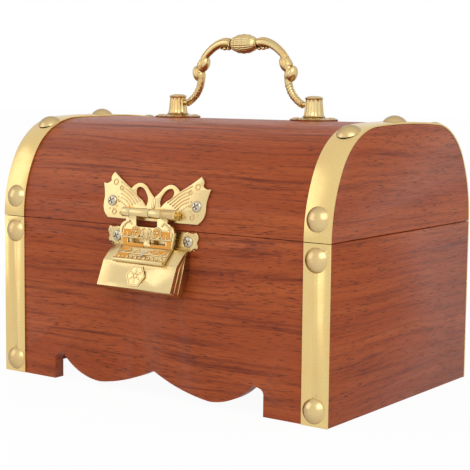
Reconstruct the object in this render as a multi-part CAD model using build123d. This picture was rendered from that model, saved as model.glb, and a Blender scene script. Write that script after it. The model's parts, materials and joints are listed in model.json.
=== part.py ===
from build123d import *
from math import asin, atan2, cos, degrees, hypot, radians, sin, sqrt
import os

# Wooden treasure chest box with a round lid, brass straps, a butterfly hasp, a hinged lock case and a
# swinging handle. Millimetres and degrees. X runs to the right along the front, Y to the back, Z up.
# The pieces are drawn about the middle of the wooden body, on the floor. Every piece is then moved along
# Y by origin_shift, so that the origin is on the floor under the middle of the whole chest.

os.makedirs("parts", exist_ok=True)

# Overall box
length = 200.0
depth = 134.0
base_height = 82.0
lid_rise = 51.0
seam_gap = 0.3
board = 6.0
lid_board = 4.0

# Round lid: three radii, as shares of half the depth
side_radius_share = 0.97
corner_radius_share = 0.537
crown_radius_share = 6.866

# Skirt under the front and back boards: shares of half the length and of the skirt's height
skirt_height = 14.0
skirt_shares = {
    "foot": (0.650, 0.000), "foot_rise": (0.650, 0.680), "foot_round": (0.642, 0.860),
    "foot_top": (0.623, 0.930), "outer_cusp": (0.595, 1.000), "outer_sweep": (0.517, 0.540),
    "low": (0.340, 0.179), "inner_sweep": (0.184, 0.393), "middle_cusp": (0.000, 0.907),
}

# Bottom board, held in grooves
bottom_level = 16.0
bottom_board = 4.0
groove_depth = 2.0
groove_fit = 0.1

# Brass straps and their round-headed nails
strap_width = 14.0
strap = 0.8
nail_head_radius = 5.75
nail_head_height = 3.0
nail_shank_radius = 1.0
nail_grip = 3.0
nail_inset = 7.5
nail_floor_height = 7.0
nail_seam_drop = 7.5
nail_lid_height = 10.1
nail_corner_angle = 66.0
nail_crown_angle = 90.0
shank_fit = 0.05

# Two butt hinges on the back
hinge_inset = 45.0
hinge_width = 25.0
hinge_leaf = 0.8
hinge_leaf_height = 10.0
hinge_knuckle_radius = 2.0
hinge_standoff = 0.3
hinge_pin_radius = 1.0
hinge_knuckles = 5
hinge_pin_head_radius = 1.6
hinge_pin_head = 0.6
hinge_screw_spacing = 15.0
hinge_screw_drop = 6.0
hinge_screw_head_radius = 1.9
hinge_screw_head = 0.8
hinge_screw_shank_radius = 0.8
hinge_screw_grip = 3.0
pin_fit = 0.05
knuckle_gap = 0.2
turning_gap = 0.3

# Butterfly plate on the lid: shares of half its width and of its rise above the screw line
butterfly_height = 12.7
butterfly_half_width = 33.0
butterfly_rise = 12.9
butterfly = 1.0
wing_shares = {
    "bottom": (0.000, -0.760), "lower_wing": (0.839, -0.744), "lower_round": (0.927, -0.527),
    "waist": (0.955, -0.155), "upper_sweep": (0.958, 0.233), "shoulder": (1.000, 0.570),
    "notch": (0.864, 0.659), "tip": (0.809, 1.000), "upper_edge": (0.621, 0.636),
    "loop_side": (0.455, 0.411), "loop_round": (0.373, 0.574), "loop_top": (0.273, 0.612),
    "loop_inner": (0.121, 0.434), "cleft": (0.000, 0.124),
}
loop_hole_shares = {
    "top": (0.273, 0.426), "outer": (0.296, 0.070), "foot": (0.130, -0.240), "inner": (0.110, 0.060),
}
butterfly_screw_share = 0.788
butterfly_screw_drop = 1.2

# Screws of the butterfly and of the catch plate
plate_screw_head_radius = 2.7
plate_screw_head = 1.2
plate_screw_shank_radius = 1.2
plate_screw_grip = 3.0

# Barrel between butterfly and hasp: ends and splits as shares of its length
barrel_length = 33.0
barrel_drop = 6.4
barrel_radius = 2.3
barrel_standoff = 0.2
barrel_shares = {"left": -0.485, "left_split": -0.333, "middle_split": 0.030, "right_split": 0.242,
                 "right": 0.515}
hasp_pin_radius = 0.8
hasp_pin_head_radius = 1.4
hasp_pin_head = 0.6

# Hasp: a sheet that hangs from the barrel and bends out over the lock
hasp = 1.2
hasp_setback = 0.6
hasp_half_width = 17.0
hasp_arm_share = 0.747
hasp_bow_share = 0.930
hasp_end_share = 0.900
hasp_window_half_width = 6.5
hasp_window_rise = 0.9
hasp_shoulder_rise = 3.4
hasp_bow_rise = 1.4
hasp_wide_drop = 1.6
hasp_clearance = 0.3
hasp_bar_radius = 1.1
hasp_slot_inner = 1.8
hasp_slot_outer = 11.6
hasp_slot_drop = 7.1
hasp_slot_height = 2.2

# Staple under the hasp, which the bolt passes through
staple = 1.4
staple_place = 5.2
staple_reach = 2.6
staple_end_radius = 1.6
staple_hole_radius = 0.95

# Catch plate on the base
catch_plate = 1.0
catch_half_width = 28.0
catch_drop = 4.8
catch_half_height = 4.65
catch_screw_half_spacing = 21.9
catch_tongue_half_width = 18.0
catch_tongue_drop = 21.0

# Lock case: a box that hangs from the catch plate and leans out at the bottom
lock_half_width = 22.5
lock_top_drop = 8.7
lock_top = 2.5
lock_roof = 9.9
lock_roof_angle = 45.0
lock_face = 12.6
lock_tilt = 22.9
lock_thickness = 9.6
lock_wall = 1.0
lock_fit = 0.05
case_screw_half_spacing = 14.0
case_screw_drop = 3.6
case_screw_head_radius = 1.8
case_screw_head = 1.0
case_screw_shank_radius = 0.9

# Turning plug with a six-sided head, in the face of the lock, and the peg that carries the bolt
plug_place = 6.4
plug_head_radius = 5.75
plug_head = 0.5
plug_head_sides = 6
plug_radius = 2.5
plug_collar_radius = 3.5
plug_collar = 0.8
plug_length = 3.3
plug_peg_radius = 1.4

# Hooked bolt on the plug: a rod bent about the plug's axis, an arm and a hub
bolt_radius = 0.65
bolt_rest = 1.1
bolt_bend_angle = 60.0
bolt_arm_width = 2.5
bolt_hub_radius = 2.6

# Handle: two posts on the lid and a swinging bail
handle_back = 6.0
post_half_spacing = 43.3
flange_radius = 12.2
flange_height = 1.6
post_foot_radius = 5.4
post_top_radius = 4.1
post_height = 10.2
post_cap = 1.0
pivot_height = 6.4
trunnion_radius = 1.5
trunnion_length = 5.1
trunnion_end_gap = 0.3
bail_rod_radius = 1.75
bail_half_width = 36.6
bail_rise = 30.6
bail_shares = {
    "eye": (1.000, 0.000, 1.00), "foot": (0.929, 0.052, 1.00), "bend": (0.803, 0.203, 1.03),
    "bud_root": (0.757, 0.363, 1.60), "lower_bud": (0.798, 0.493, 2.20), "step": (0.760, 0.565, 1.45),
    "upper_bud": (0.738, 0.631, 2.10), "neck": (0.710, 0.732, 1.06), "shoulder": (0.615, 0.866, 1.12),
    "turn": (0.484, 0.974, 1.20), "arch": (0.328, 1.010, 1.30), "grip_root": (0.235, 1.000, 1.45),
}
grip_half_length = 8.75
grip_radius = 5.05
grip_end_radius = 2.2
handle_screw_radius = 1.5
handle_screw_height = 5.0
handle_screw_head_radius = 3.0
handle_screw_head = 2.0
washer_radius = 4.5
washer = 0.8
washer_gap = 0.2

overrun = 1.0

half_length = length / 2
half_depth = depth / 2
lid_low = base_height + seam_gap


def save(name, solids):
    """Write one node, moved so that the origin is under the middle of the whole chest."""
    shape = Compound(children=list(solids)) if isinstance(solids, (list, tuple)) else solids
    export_step(Pos(0, origin_shift, 0) * shape, "parts/" + name + ".step")


def block(x0, x1, y0, y1, z0, z1):
    """Return a box between two corners."""
    return Pos((x0 + x1) / 2, (y0 + y1) / 2, (z0 + z1) / 2) * Box(abs(x1 - x0), abs(y1 - y0), abs(z1 - z0))


def polygon_prism(points, half_width):
    """Return a prism along X, as wide to the left as to the right, over an outline of (y, z) points."""
    face = Face(Wire.make_polygon([(-half_width, y, z) for y, z in points], close=True))
    return extrude(face, amount=2 * half_width, dir=(1, 0, 0))


def bar(x0, x1, centre, radius):
    """Return a round bar along X through the (y, z) centre."""
    return Pos((x0 + x1) / 2, centre[0], centre[1]) * Rot(0, 90, 0) * Cylinder(radius, abs(x1 - x0))


def mirrored_points(shares, names, wide, high):
    """Return the named points of an outline, scaled to its real width and height."""
    return [(shares[name][0] * wide, shares[name][1] * high) for name in names]


def domed(radius, height, shank_radius, shank_length):
    """Return a nail or screw with a domed head, its head's underside on the plane z = 0."""
    sphere = (radius * radius + height * height) / (2 * height)
    half_angle = asin(radius / sphere) / 2
    middle = (sphere * sin(half_angle), 0, height - sphere + sphere * cos(half_angle))
    edges = [
        Edge.make_three_point_arc((radius, 0, 0), middle, (0, 0, height)),
        Edge.make_line((0, 0, height), (0, 0, -shank_length)),
        Edge.make_line((0, 0, -shank_length), (shank_radius, 0, -shank_length)),
        Edge.make_line((shank_radius, 0, -shank_length), (shank_radius, 0, 0)),
        Edge.make_line((shank_radius, 0, 0), (radius, 0, 0)),
    ]
    return revolve(Face(Wire(edges)), axis=Axis.Z)


def drilled(place, radius, deep):
    """Return the cutter of a hole that goes deep below a plane."""
    return place * Pos(0, 0, (overrun - deep) / 2) * Cylinder(radius, deep + overrun)


def on_face(x, point, normal):
    """Return a plane at (x, y, z) whose Z points along a (y, z) normal."""
    return Plane(origin=(x, point[0], point[1]), x_dir=(1, 0, 0), z_dir=(0, normal[0], normal[1]))


def without(shape, cutters):
    """Return the shape with each cutter taken away."""
    for cutter in cutters:
        shape -= cutter
    return shape


# Curve of the lid, in (y, height above the lid's lower edge)
side_radius = side_radius_share * half_depth
corner_radius = corner_radius_share * half_depth
crown_radius = crown_radius_share * half_depth
side_centre = (half_depth - side_radius, 0)
crown_centre = (0, lid_rise - crown_radius)


def outer_crossing(a, radius_a, b, radius_b):
    """Return the outer crossing of two circles about a and b."""
    dy, dz = b[0] - a[0], b[1] - a[1]
    gap = hypot(dy, dz)
    along = (radius_a ** 2 - radius_b ** 2 + gap ** 2) / (2 * gap)
    across = sqrt(radius_a ** 2 - along ** 2)
    return (a[0] + (along * dy - across * dz) / gap, a[1] + (along * dz + across * dy) / gap)


corner_centre = outer_crossing(side_centre, side_radius - corner_radius,
                               crown_centre, crown_radius - corner_radius)
side_end = degrees(atan2(corner_centre[1] - side_centre[1], corner_centre[0] - side_centre[0]))
corner_end = degrees(atan2(corner_centre[1] - crown_centre[1], corner_centre[0] - crown_centre[0]))
lid_arcs = {
    "side": (side_centre, side_radius),
    "corner": (corner_centre, corner_radius),
    "crown": (crown_centre, crown_radius),
}


def lid_point(arc, angle, out=0, back=True):
    """Return the (y, z) of a point on an arc of the lid, moved out, on the back half or the front half."""
    centre, radius = lid_arcs[arc]
    y = centre[0] + (radius + out) * cos(radians(angle))
    z = lid_low + centre[1] + (radius + out) * sin(radians(angle))
    return (y if back else -y, z)


def lid_normal(angle, back=True):
    """Return the (y, z) of the outward normal at an angle of the lid's curve."""
    return (cos(radians(angle)) if back else -cos(radians(angle)), sin(radians(angle)))


def lid_place(x, arc, angle, out=0, back=True):
    """Return a plane that lies on the lid, moved out from the wood."""
    return on_face(x, lid_point(arc, angle, out, back), lid_normal(angle, back))


def lid_arc_edge(x, arc, start, end, out, back=True):
    """Return one arc of the lid's curve as an edge at one x."""
    points = [lid_point(arc, angle, out, back) for angle in (start, (start + end) / 2, end)]
    return Edge.make_three_point_arc(*[(x, y, z) for y, z in points])


def lid_curve(x, out):
    """Return the five arcs of the lid from its front lower edge to its back lower edge."""
    spans = [("side", 0, side_end), ("corner", side_end, corner_end)]
    edges = [lid_arc_edge(x, arc, start, end, out, back) for back in (False, True) for arc, start, end in spans]
    crown = Edge.make_three_point_arc(
        *[(x, y, z) for y, z in (lid_point("crown", corner_end, out, False), lid_point("crown", 90, out),
                                 lid_point("crown", corner_end, out, True))])
    return edges + [crown]


def lid_block(x0, x1, out=0):
    """Return the whole rounded block of the lid between two x values."""
    front = (x0, *lid_point("side", 0, out, False))
    back = (x0, *lid_point("side", 0, out, True))
    face = Face(Wire(lid_curve(x0, out) + [Edge.make_line(back, front)]))
    return extrude(face, amount=x1 - x0, dir=(1, 0, 0))


def lid_band(x0, x1, inner, outer):
    """Return a bent sheet that follows the lid from its front edge to its back edge."""
    ends = [Edge.make_line((x0, *lid_point("side", 0, inner, back)), (x0, *lid_point("side", 0, outer, back)))
            for back in (False, True)]
    face = Face(Wire(lid_curve(x0, inner) + lid_curve(x0, outer) + ends))
    return extrude(face, amount=x1 - x0, dir=(1, 0, 0))


def side_angle(height, out=0):
    """Return the angle on the lid's side arc at a height above the lid's lower edge."""
    return degrees(asin(height / (side_radius + out)))


# Levels of the hasp, from the top of the base
hasp_window_level = base_height + hasp_window_rise
hasp_shoulder_level = base_height + hasp_shoulder_rise
hasp_bow_level = base_height + hasp_bow_rise
hasp_wide_level = base_height - hasp_wide_drop
hasp_slot_level = base_height - hasp_slot_drop

# Places of nails, screws and pivots
nail_xs = (-half_length + nail_inset, half_length - nail_inset)
base_nail_levels = (nail_floor_height, base_height - nail_seam_drop)
base_nail_places = [on_face(x, (side * (half_depth + strap), z), (side, 0))
                    for x in nail_xs for side in (-1, 1) for z in base_nail_levels]
lid_nail_angles = [("side", side_angle(nail_lid_height)), ("corner", nail_corner_angle)]
lid_nail_places = [lid_place(x, arc, angle, strap, back)
                   for x in nail_xs for arc, angle in lid_nail_angles for back in (False, True)]
lid_nail_places += [lid_place(x, "crown", nail_crown_angle, strap) for x in nail_xs]
nail_length = strap + nail_grip
nail_holes = {"base": [drilled(place, nail_shank_radius + shank_fit, nail_length) for place in base_nail_places],
              "lid": [drilled(place, nail_shank_radius + shank_fit, nail_length) for place in lid_nail_places]}

hinge_xs = (hinge_inset - half_length, half_length - hinge_inset)
hinge_axis = (half_depth + hinge_standoff + hinge_knuckle_radius, base_height + seam_gap / 2)
hinge_screw_xs = [x + side * hinge_screw_spacing / 2 for x in hinge_xs for side in (-1, 1)]
base_hinge_screw_places = [on_face(x, (half_depth + hinge_leaf, base_height - hinge_screw_drop), (1, 0))
                           for x in hinge_screw_xs]
lid_hinge_screw_places = [lid_place(x, "side", side_angle(hinge_screw_drop), hinge_leaf) for x in hinge_screw_xs]
hinge_screw_length = hinge_leaf + hinge_screw_grip

butterfly_angle = side_angle(butterfly_height)
butterfly_plane = lid_place(0, "side", butterfly_angle, 0, False)
butterfly_up = (sin(radians(butterfly_angle)), cos(radians(butterfly_angle)))
butterfly_out = lid_normal(butterfly_angle, False)
butterfly_foot = lid_point("side", butterfly_angle, 0, False)


def on_butterfly(up, out):
    """Return the (y, z) of a point of the butterfly plate, up from its screw line and out from the lid."""
    return (butterfly_foot[0] + up * butterfly_up[0] + out * butterfly_out[0],
            butterfly_foot[1] + up * butterfly_up[1] + out * butterfly_out[1])


barrel_axis = on_butterfly(-barrel_drop, butterfly + barrel_standoff + barrel_radius)
barrel_edges = {name: share * barrel_length for name, share in barrel_shares.items()}
hasp_knuckles = [("left_split", "middle_split"), ("right_split", "right")]
butterfly_knuckles = [("left", "left_split"), ("middle_split", "right_split")]
butterfly_screw_places = [on_face(side * butterfly_screw_share * butterfly_half_width,
                                  on_butterfly(-butterfly_screw_drop, butterfly), butterfly_out)
                          for side in (-1, 1)]
plate_screw_length = butterfly + plate_screw_grip

front_face = -half_depth
catch_front = front_face - catch_plate
catch_level = base_height - catch_drop
catch_screw_places = [on_face(side * catch_screw_half_spacing, (catch_front, catch_level), (-1, 0))
                      for side in (-1, 1)]

# Side outline of the lock case, in (y, z)
lock_top_level = base_height - lock_top_drop
roof_down = (-cos(radians(lock_roof_angle)), -sin(radians(lock_roof_angle)))
roof_out = (-sin(radians(lock_roof_angle)), cos(radians(lock_roof_angle)))
face_down = (-sin(radians(lock_tilt)), -cos(radians(lock_tilt)))
face_out = (-cos(radians(lock_tilt)), sin(radians(lock_tilt)))


def moved(point, direction, distance):
    """Return a (y, z) point moved along a direction."""
    return (point[0] + direction[0] * distance, point[1] + direction[1] * distance)


lock_top_back = (catch_front, lock_top_level)
lock_brow = (catch_front - lock_top, lock_top_level)
lock_fold = moved(lock_brow, roof_down, lock_roof)
lock_chin = moved(lock_fold, face_down, lock_face)
lock_heel = moved(lock_chin, face_out, -lock_thickness)
lock_waist = moved(lock_heel, face_down, (lock_heel[0] - catch_front) / sin(radians(lock_tilt)))
lock_outline = [lock_top_back, lock_brow, lock_fold, lock_chin, lock_heel, lock_waist]


def inset(outline, distances):
    """Return an outline whose edges are moved inwards, each by its own distance."""
    lines = []
    for (y0, z0), (y1, z1), distance in zip(outline, outline[1:] + outline[:1], distances):
        size = hypot(y1 - y0, z1 - z0)
        dy, dz = (y1 - y0) / size, (z1 - z0) / size
        lines.append(((y0 - dz * distance, z0 + dy * distance), (dy, dz)))
    points = []
    for (p, u), (q, v) in zip(lines[-1:] + lines[:-1], lines):
        cross = u[0] * v[1] - u[1] * v[0]
        t = ((q[0] - p[0]) * v[1] - (q[1] - p[1]) * v[0]) / cross
        points.append(moved(p, u, t))
    return points


plug_centre = moved(lock_fold, face_down, plug_place)
plug_plane = on_face(0, plug_centre, face_out)
staple_root = moved(lock_brow, roof_down, staple_place)
staple_centre = moved(staple_root, roof_out, -staple_reach)
staple_plane = on_face(0, staple_root, roof_out)
staple_offset = (staple_centre[0] - plug_centre[0], staple_centre[1] - plug_centre[1])
bolt_reach = -(staple_offset[0] * face_down[0] + staple_offset[1] * face_down[1])
bolt_depth = -(staple_offset[0] * face_out[0] + staple_offset[1] * face_out[1])
case_screw_level = lock_top_level - case_screw_drop
case_screw_places = [on_face(side * case_screw_half_spacing, (catch_front - lock_wall, case_screw_level), (-1, 0))
                     for side in (-1, 1)]
case_screw_length = lock_wall + catch_plate + plate_screw_grip

post_xs = (-post_half_spacing, post_half_spacing)
crown_top = lid_low + lid_rise
post_level = crown_top + flange_height
pivot = (handle_back, post_level + pivot_height)
lid_ceiling = crown_top - lid_board
washer_level = lid_ceiling - washer_gap
handle_screw_places = [Plane(origin=(x, handle_back, washer_level - washer), x_dir=(1, 0, 0), z_dir=(0, 0, -1))
                       for x in post_xs]
handle_screw_length = post_level + handle_screw_height - washer_level + washer

front_reach = -moved(lock_chin, face_out, turning_gap)[0]
back_reach = hinge_axis[0] + hinge_knuckle_radius
origin_shift = (front_reach - back_reach) / 2


# Wooden base
def skirted_board():
    """Return the front board, with feet and a scalloped skirt, between the two ends."""
    names = list(skirt_shares)
    foot, rise, turn, top, cusp, outer, low, inner, middle = mirrored_points(
        skirt_shares, names, half_length, skirt_height)
    wide = half_length - board

    def at(point):
        return (point[0], front_face, point[1])

    corners = [(0, base_height), (wide, base_height), (wide, 0), foot, rise]
    edges = [Edge.make_line(at(a), at(b)) for a, b in zip(corners, corners[1:])]
    edges += [
        Edge.make_three_point_arc(at(rise), at(turn), at(top)),
        Edge.make_line(at(top), at(cusp)),
        Edge.make_three_point_arc(at(cusp), at(outer), at(low)),
        Edge.make_three_point_arc(at(low), at(inner), at(middle)),
        Edge.make_line(at(middle), at(corners[0])),
    ]
    half = extrude(Face(Wire(edges)), amount=board, dir=(0, 1, 0))
    return half + mirror(half, about=Plane.YZ)


def bottom():
    """Return the bottom board with its edges in the grooves."""
    reach = groove_depth - groove_fit
    wide = half_length - board + reach
    deep = half_depth - board + reach
    return block(-wide, wide, -deep, deep, bottom_level, bottom_level + bottom_board)


def groove():
    """Return the cutter of the groove that runs round the inside of the base."""
    wide = half_length - board + groove_depth
    deep = half_depth - board + groove_depth
    return block(-wide, wide, -deep, deep, bottom_level, bottom_level + bottom_board)


def base_end(side):
    """Return one end board of the base, as deep as the chest."""
    inner, outer = sorted((side * (half_length - board), side * half_length))
    return block(inner, outer, -half_depth, half_depth, 0, base_height)


def base_strap(side_x, side_y):
    """Return one upright strap on a corner of the base."""
    x0, x1 = sorted((side_x * (half_length - strap_width), side_x * half_length))
    y0, y1 = sorted((side_y * half_depth, side_y * (half_depth + strap)))
    return block(x0, x1, y0, y1, 0, base_height)


# Hinges
def knuckle_spans(centre, own):
    """Return the x spans of one hinge leaf's own knuckles, or of the other leaf's knuckles."""
    pitch = hinge_width / hinge_knuckles
    left = centre - hinge_width / 2
    wanted = range(0, hinge_knuckles, 2) if own else range(1, hinge_knuckles, 2)
    return [(left + i * pitch, left + (i + 1) * pitch) for i in wanted]


def leaf_with_knuckles(plate, centre, own):
    """Return a leaf joined to its knuckles, with room for the other leaf's knuckles and the pin."""
    for x0, x1 in knuckle_spans(centre, own):
        plate += bar(x0 + knuckle_gap / 2, x1 - knuckle_gap / 2, hinge_axis, hinge_knuckle_radius)
    for x0, x1 in knuckle_spans(centre, not own):
        plate -= bar(x0 - knuckle_gap / 2, x1 + knuckle_gap / 2, hinge_axis, hinge_knuckle_radius + turning_gap)
    reach = hinge_width / 2 + overrun
    return plate - bar(centre - reach, centre + reach, hinge_axis, hinge_pin_radius + pin_fit)


def base_leaf(centre):
    """Return the hinge leaf on the back of the base."""
    plate = block(centre - hinge_width / 2, centre + hinge_width / 2, half_depth, half_depth + hinge_leaf,
                  base_height - hinge_leaf_height, base_height)
    return leaf_with_knuckles(plate, centre, True)


def lid_leaf(centre):
    """Return the hinge leaf that follows the lid's back."""
    x0 = centre - hinge_width / 2
    top = side_angle(hinge_leaf_height)
    inner = lid_arc_edge(x0, "side", 0, top, 0)
    outer = lid_arc_edge(x0, "side", 0, top, hinge_leaf)
    ends = [Edge.make_line((x0, *lid_point("side", angle)), (x0, *lid_point("side", angle, hinge_leaf)))
            for angle in (0, top)]
    plate = extrude(Face(Wire([inner, outer] + ends)), amount=hinge_width, dir=(1, 0, 0))
    return leaf_with_knuckles(plate, centre, False)


def hinge_pin(centre):
    """Return a hinge pin with a small head at each end."""
    half = hinge_width / 2
    pin = bar(centre - half - hinge_pin_head, centre + half + hinge_pin_head, hinge_axis, hinge_pin_radius)
    for side in (-1, 1):
        inner = centre + side * half
        pin += bar(inner, inner + side * hinge_pin_head, hinge_axis, hinge_pin_head_radius)
    return pin


# Butterfly plate, barrel and hasp
def butterfly_plate():
    """Return the winged plate on the lid, with its two antenna loops and its share of the barrel."""
    names = list(wing_shares)
    (bottom_mid, lower_wing, lower_round, waist, sweep, shoulder, notch, tip, edge, loop_side, loop_round,
     loop_top, loop_inner, cleft) = mirrored_points(wing_shares, names, butterfly_half_width, butterfly_rise)
    top, outer, foot, inner = mirrored_points(
        loop_hole_shares, list(loop_hole_shares), butterfly_half_width, butterfly_rise)
    edges = [
        Edge.make_line(bottom_mid, lower_wing),
        Edge.make_three_point_arc(lower_wing, lower_round, waist),
        Edge.make_three_point_arc(waist, sweep, shoulder),
        Edge.make_line(shoulder, notch),
        Edge.make_line(notch, tip),
        Edge.make_three_point_arc(tip, edge, loop_side),
        Edge.make_three_point_arc(loop_side, loop_round, loop_top),
        Edge.make_three_point_arc(loop_top, loop_inner, cleft),
        Edge.make_line(cleft, bottom_mid),
    ]
    hole = Face(Wire([Edge.make_three_point_arc(top, outer, foot), Edge.make_three_point_arc(foot, inner, top)]))
    wing = extrude(Face(Wire(edges)), amount=butterfly, dir=(0, 0, 1))
    wing -= Pos(0, 0, -overrun) * extrude(hole, amount=butterfly + 2 * overrun, dir=(0, 0, 1))
    plate = butterfly_plane * (wing + mirror(wing, about=Plane.YZ))
    for left, right in butterfly_knuckles:
        x0, x1 = barrel_edges[left] + knuckle_gap / 2, barrel_edges[right] - knuckle_gap / 2
        plate += bar(x0, x1, barrel_axis, barrel_radius)
        web = [on_butterfly(-barrel_drop + up, out) for up, out in (
            (-barrel_radius / 2, 0), (-barrel_radius / 2, butterfly + barrel_radius),
            (barrel_radius / 2, butterfly + barrel_radius), (barrel_radius / 2, 0))]
        plate += Pos((x0 + x1) / 2, 0, 0) * polygon_prism(web, (x1 - x0) / 2)
    return plate - bar(-barrel_length, barrel_length, barrel_axis, hasp_pin_radius + pin_fit)


def hasp_section():
    """Return the side outline of the hasp sheet: upright, then out along the roof of the lock."""
    front = barrel_axis[0] - barrel_radius + hasp_setback
    back = front + hasp
    fold_back = lock_brow[1] + (back - lock_brow[0]) * roof_down[1] / roof_down[0]
    fold_back += hasp_clearance / roof_out[1]
    fold_front = fold_back + hasp / roof_out[1] - hasp * roof_down[1] / roof_down[0]
    end_back = moved(lock_fold, roof_out, hasp_clearance)
    end_front = moved(lock_fold, roof_out, hasp_clearance + hasp)
    top = barrel_axis[1]
    return [(back, top), (front, top), (front, fold_front), end_front, end_back, (back, fold_back)]


def hasp_front():
    """Return the hasp's front outline as a block that runs through the sheet from front to back."""
    arm = hasp_arm_share * hasp_half_width
    end = hasp_end_share * hasp_half_width
    bow = hasp_bow_share * hasp_half_width
    low = lock_fold[1] - overrun
    window = hasp_window_half_width
    near, far = -depth, depth

    def at(x, z):
        return (x, near, z)

    edges = [
        Edge.make_line(at(0, hasp_window_level), at(window, hasp_window_level)),
        Edge.make_line(at(window, hasp_window_level), at(window, base_height + depth)),
        Edge.make_line(at(window, base_height + depth), at(arm, base_height + depth)),
        Edge.make_line(at(arm, base_height + depth), at(arm, hasp_shoulder_level)),
        Edge.make_three_point_arc(at(arm, hasp_shoulder_level), at(bow, hasp_bow_level),
                                  at(hasp_half_width, hasp_wide_level)),
        Edge.make_line(at(hasp_half_width, hasp_wide_level), at(end, lock_top_level)),
        Edge.make_line(at(end, lock_top_level), at(end, low)),
        Edge.make_line(at(end, low), at(0, low)),
        Edge.make_line(at(0, low), at(0, hasp_window_level)),
    ]
    half = extrude(Face(Wire(edges)), amount=far - near, dir=(0, 1, 0))
    return half + mirror(half, about=Plane.YZ)


def hasp_plate():
    """Return the hasp: arms with a window, openwork slots, a bar along its end and its barrel knuckles."""
    sheet = polygon_prism(hasp_section(), hasp_half_width) & hasp_front()
    for side in (-1, 1):
        sheet -= block(side * hasp_slot_inner, side * hasp_slot_outer, -depth, 0, hasp_slot_level,
                       hasp_slot_level + hasp_slot_height)
    end = hasp_end_share * hasp_half_width
    bar_centre = moved(lock_fold, roof_out, hasp_clearance + hasp_bar_radius)
    sheet += bar(-end, end, bar_centre, hasp_bar_radius)
    for left, right in hasp_knuckles:
        x0, x1 = barrel_edges[left] + knuckle_gap / 2, barrel_edges[right] - knuckle_gap / 2
        sheet += bar(x0, x1, barrel_axis, barrel_radius)
    for left, right in butterfly_knuckles:
        x0, x1 = barrel_edges[left] - knuckle_gap / 2, barrel_edges[right] + knuckle_gap / 2
        sheet -= bar(x0, x1, barrel_axis, barrel_radius + turning_gap)
    sheet -= staple_plane * Box(staple + 2 * lock_fit, 2 * (staple_end_radius + lock_fit), 2 * (hasp + overrun))
    return sheet - bar(-barrel_length, barrel_length, barrel_axis, hasp_pin_radius + pin_fit)


def hasp_staple():
    """Return the tongue under the hasp, with a round end and a hole for the bolt."""
    top = hasp_clearance + hasp
    tongue = Pos(0, 0, (top - staple_reach) / 2) * Box(staple, 2 * staple_end_radius, top + staple_reach)
    tongue += Pos(0, 0, -staple_reach) * Rot(0, 90, 0) * Cylinder(staple_end_radius, staple)
    tongue -= Pos(0, 0, -staple_reach) * Rot(0, 90, 0) * Cylinder(staple_hole_radius, staple + overrun)
    return staple_plane * tongue


def hasp_pin():
    """Return the pin of the barrel, with a head at each end."""
    left, right = barrel_edges["left"], barrel_edges["right"]
    pin = bar(left - hasp_pin_head, right + hasp_pin_head, barrel_axis, hasp_pin_radius)
    pin += bar(left - hasp_pin_head, left, barrel_axis, hasp_pin_head_radius)
    return pin + bar(right, right + hasp_pin_head, barrel_axis, hasp_pin_head_radius)


# Catch plate and lock
def catch():
    """Return the catch plate: a bar with round ears, and a tongue behind the lock case."""
    centre = catch_half_width - catch_half_height
    place = on_face(0, (catch_front, catch_level), (-1, 0))
    ears = [place * Pos(side * centre, 0, -catch_plate / 2) * Cylinder(catch_half_height, catch_plate)
            for side in (-1, 1)]
    plate = block(-centre, centre, catch_front, front_face, catch_level - catch_half_height,
                  catch_level + catch_half_height)
    plate += block(-catch_tongue_half_width, catch_tongue_half_width, catch_front, front_face,
                   base_height - catch_tongue_drop, catch_level)
    return plate + ears[0] + ears[1]


def slope_along_roof(axis):
    """Return how far the staple drifts along the roof for each unit that it leaves the lock, about an axis."""
    reach = (staple_centre[0] - axis[0], staple_centre[1] - axis[1])
    way = (reach[1], -reach[0])
    along = way[0] * roof_down[0] + way[1] * roof_down[1]
    out = way[0] * roof_out[0] + way[1] * roof_out[1]
    return along / out


def roof_slot():
    """Return the cutter of the slot in the roof, long enough for the hasp's swing and the lid's."""
    drifts = [slope_along_roof(axis) for axis in (hinge_axis, barrel_axis)]
    ends = [staple_reach * abs(drift) + staple_end_radius * sqrt(1 + drift ** 2) + hasp_clearance
            for drift in drifts]
    up, down = ends
    slot = Box(staple + 2 * hasp_clearance, up + down, 2 * overrun + lock_wall)
    return staple_plane * Pos(0, (up - down) / 2, 0) * slot


def lock_case():
    """Return the folded case of the lock, open at the back, with the slot and the bore of the plug."""
    walls = [lock_wall] * 4 + [-overrun] * 2
    case = polygon_prism(lock_outline, lock_half_width)
    case -= polygon_prism(inset(lock_outline, walls), lock_half_width - lock_wall)
    case -= roof_slot()
    return case - drilled(plug_plane, plug_radius + pin_fit, lock_wall + overrun)


def lock_back_cover():
    """Return the bent cover that closes the back of the lock."""
    wide = lock_half_width - lock_wall - lock_fit
    edge = lock_wall + lock_fit
    cover = polygon_prism(inset(lock_outline, [edge] * 4 + [0, 0]), wide)
    return cover - polygon_prism(inset(lock_outline, [-overrun] * 4 + [lock_wall] * 2), wide + overrun)


def lock_plug():
    """Return the turning plug: six-sided head, shank, collar and the peg that carries the bolt."""
    head = extrude(RegularPolygon(plug_head_radius, plug_head_sides), amount=plug_head)
    plug = Pos(0, 0, turning_gap / 3) * head
    plug += Pos(0, 0, (turning_gap / 3 - plug_length) / 2) * Cylinder(plug_radius, plug_length + turning_gap / 3)
    collar_level = -lock_wall - turning_gap / 3
    plug += Pos(0, 0, collar_level - plug_collar / 2) * Cylinder(plug_collar_radius, plug_collar)
    peg_length = 2 * (bolt_depth - plug_length)
    return plug_plane * (plug + Pos(0, 0, -plug_length - peg_length / 2) * Cylinder(plug_peg_radius, peg_length))


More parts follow.
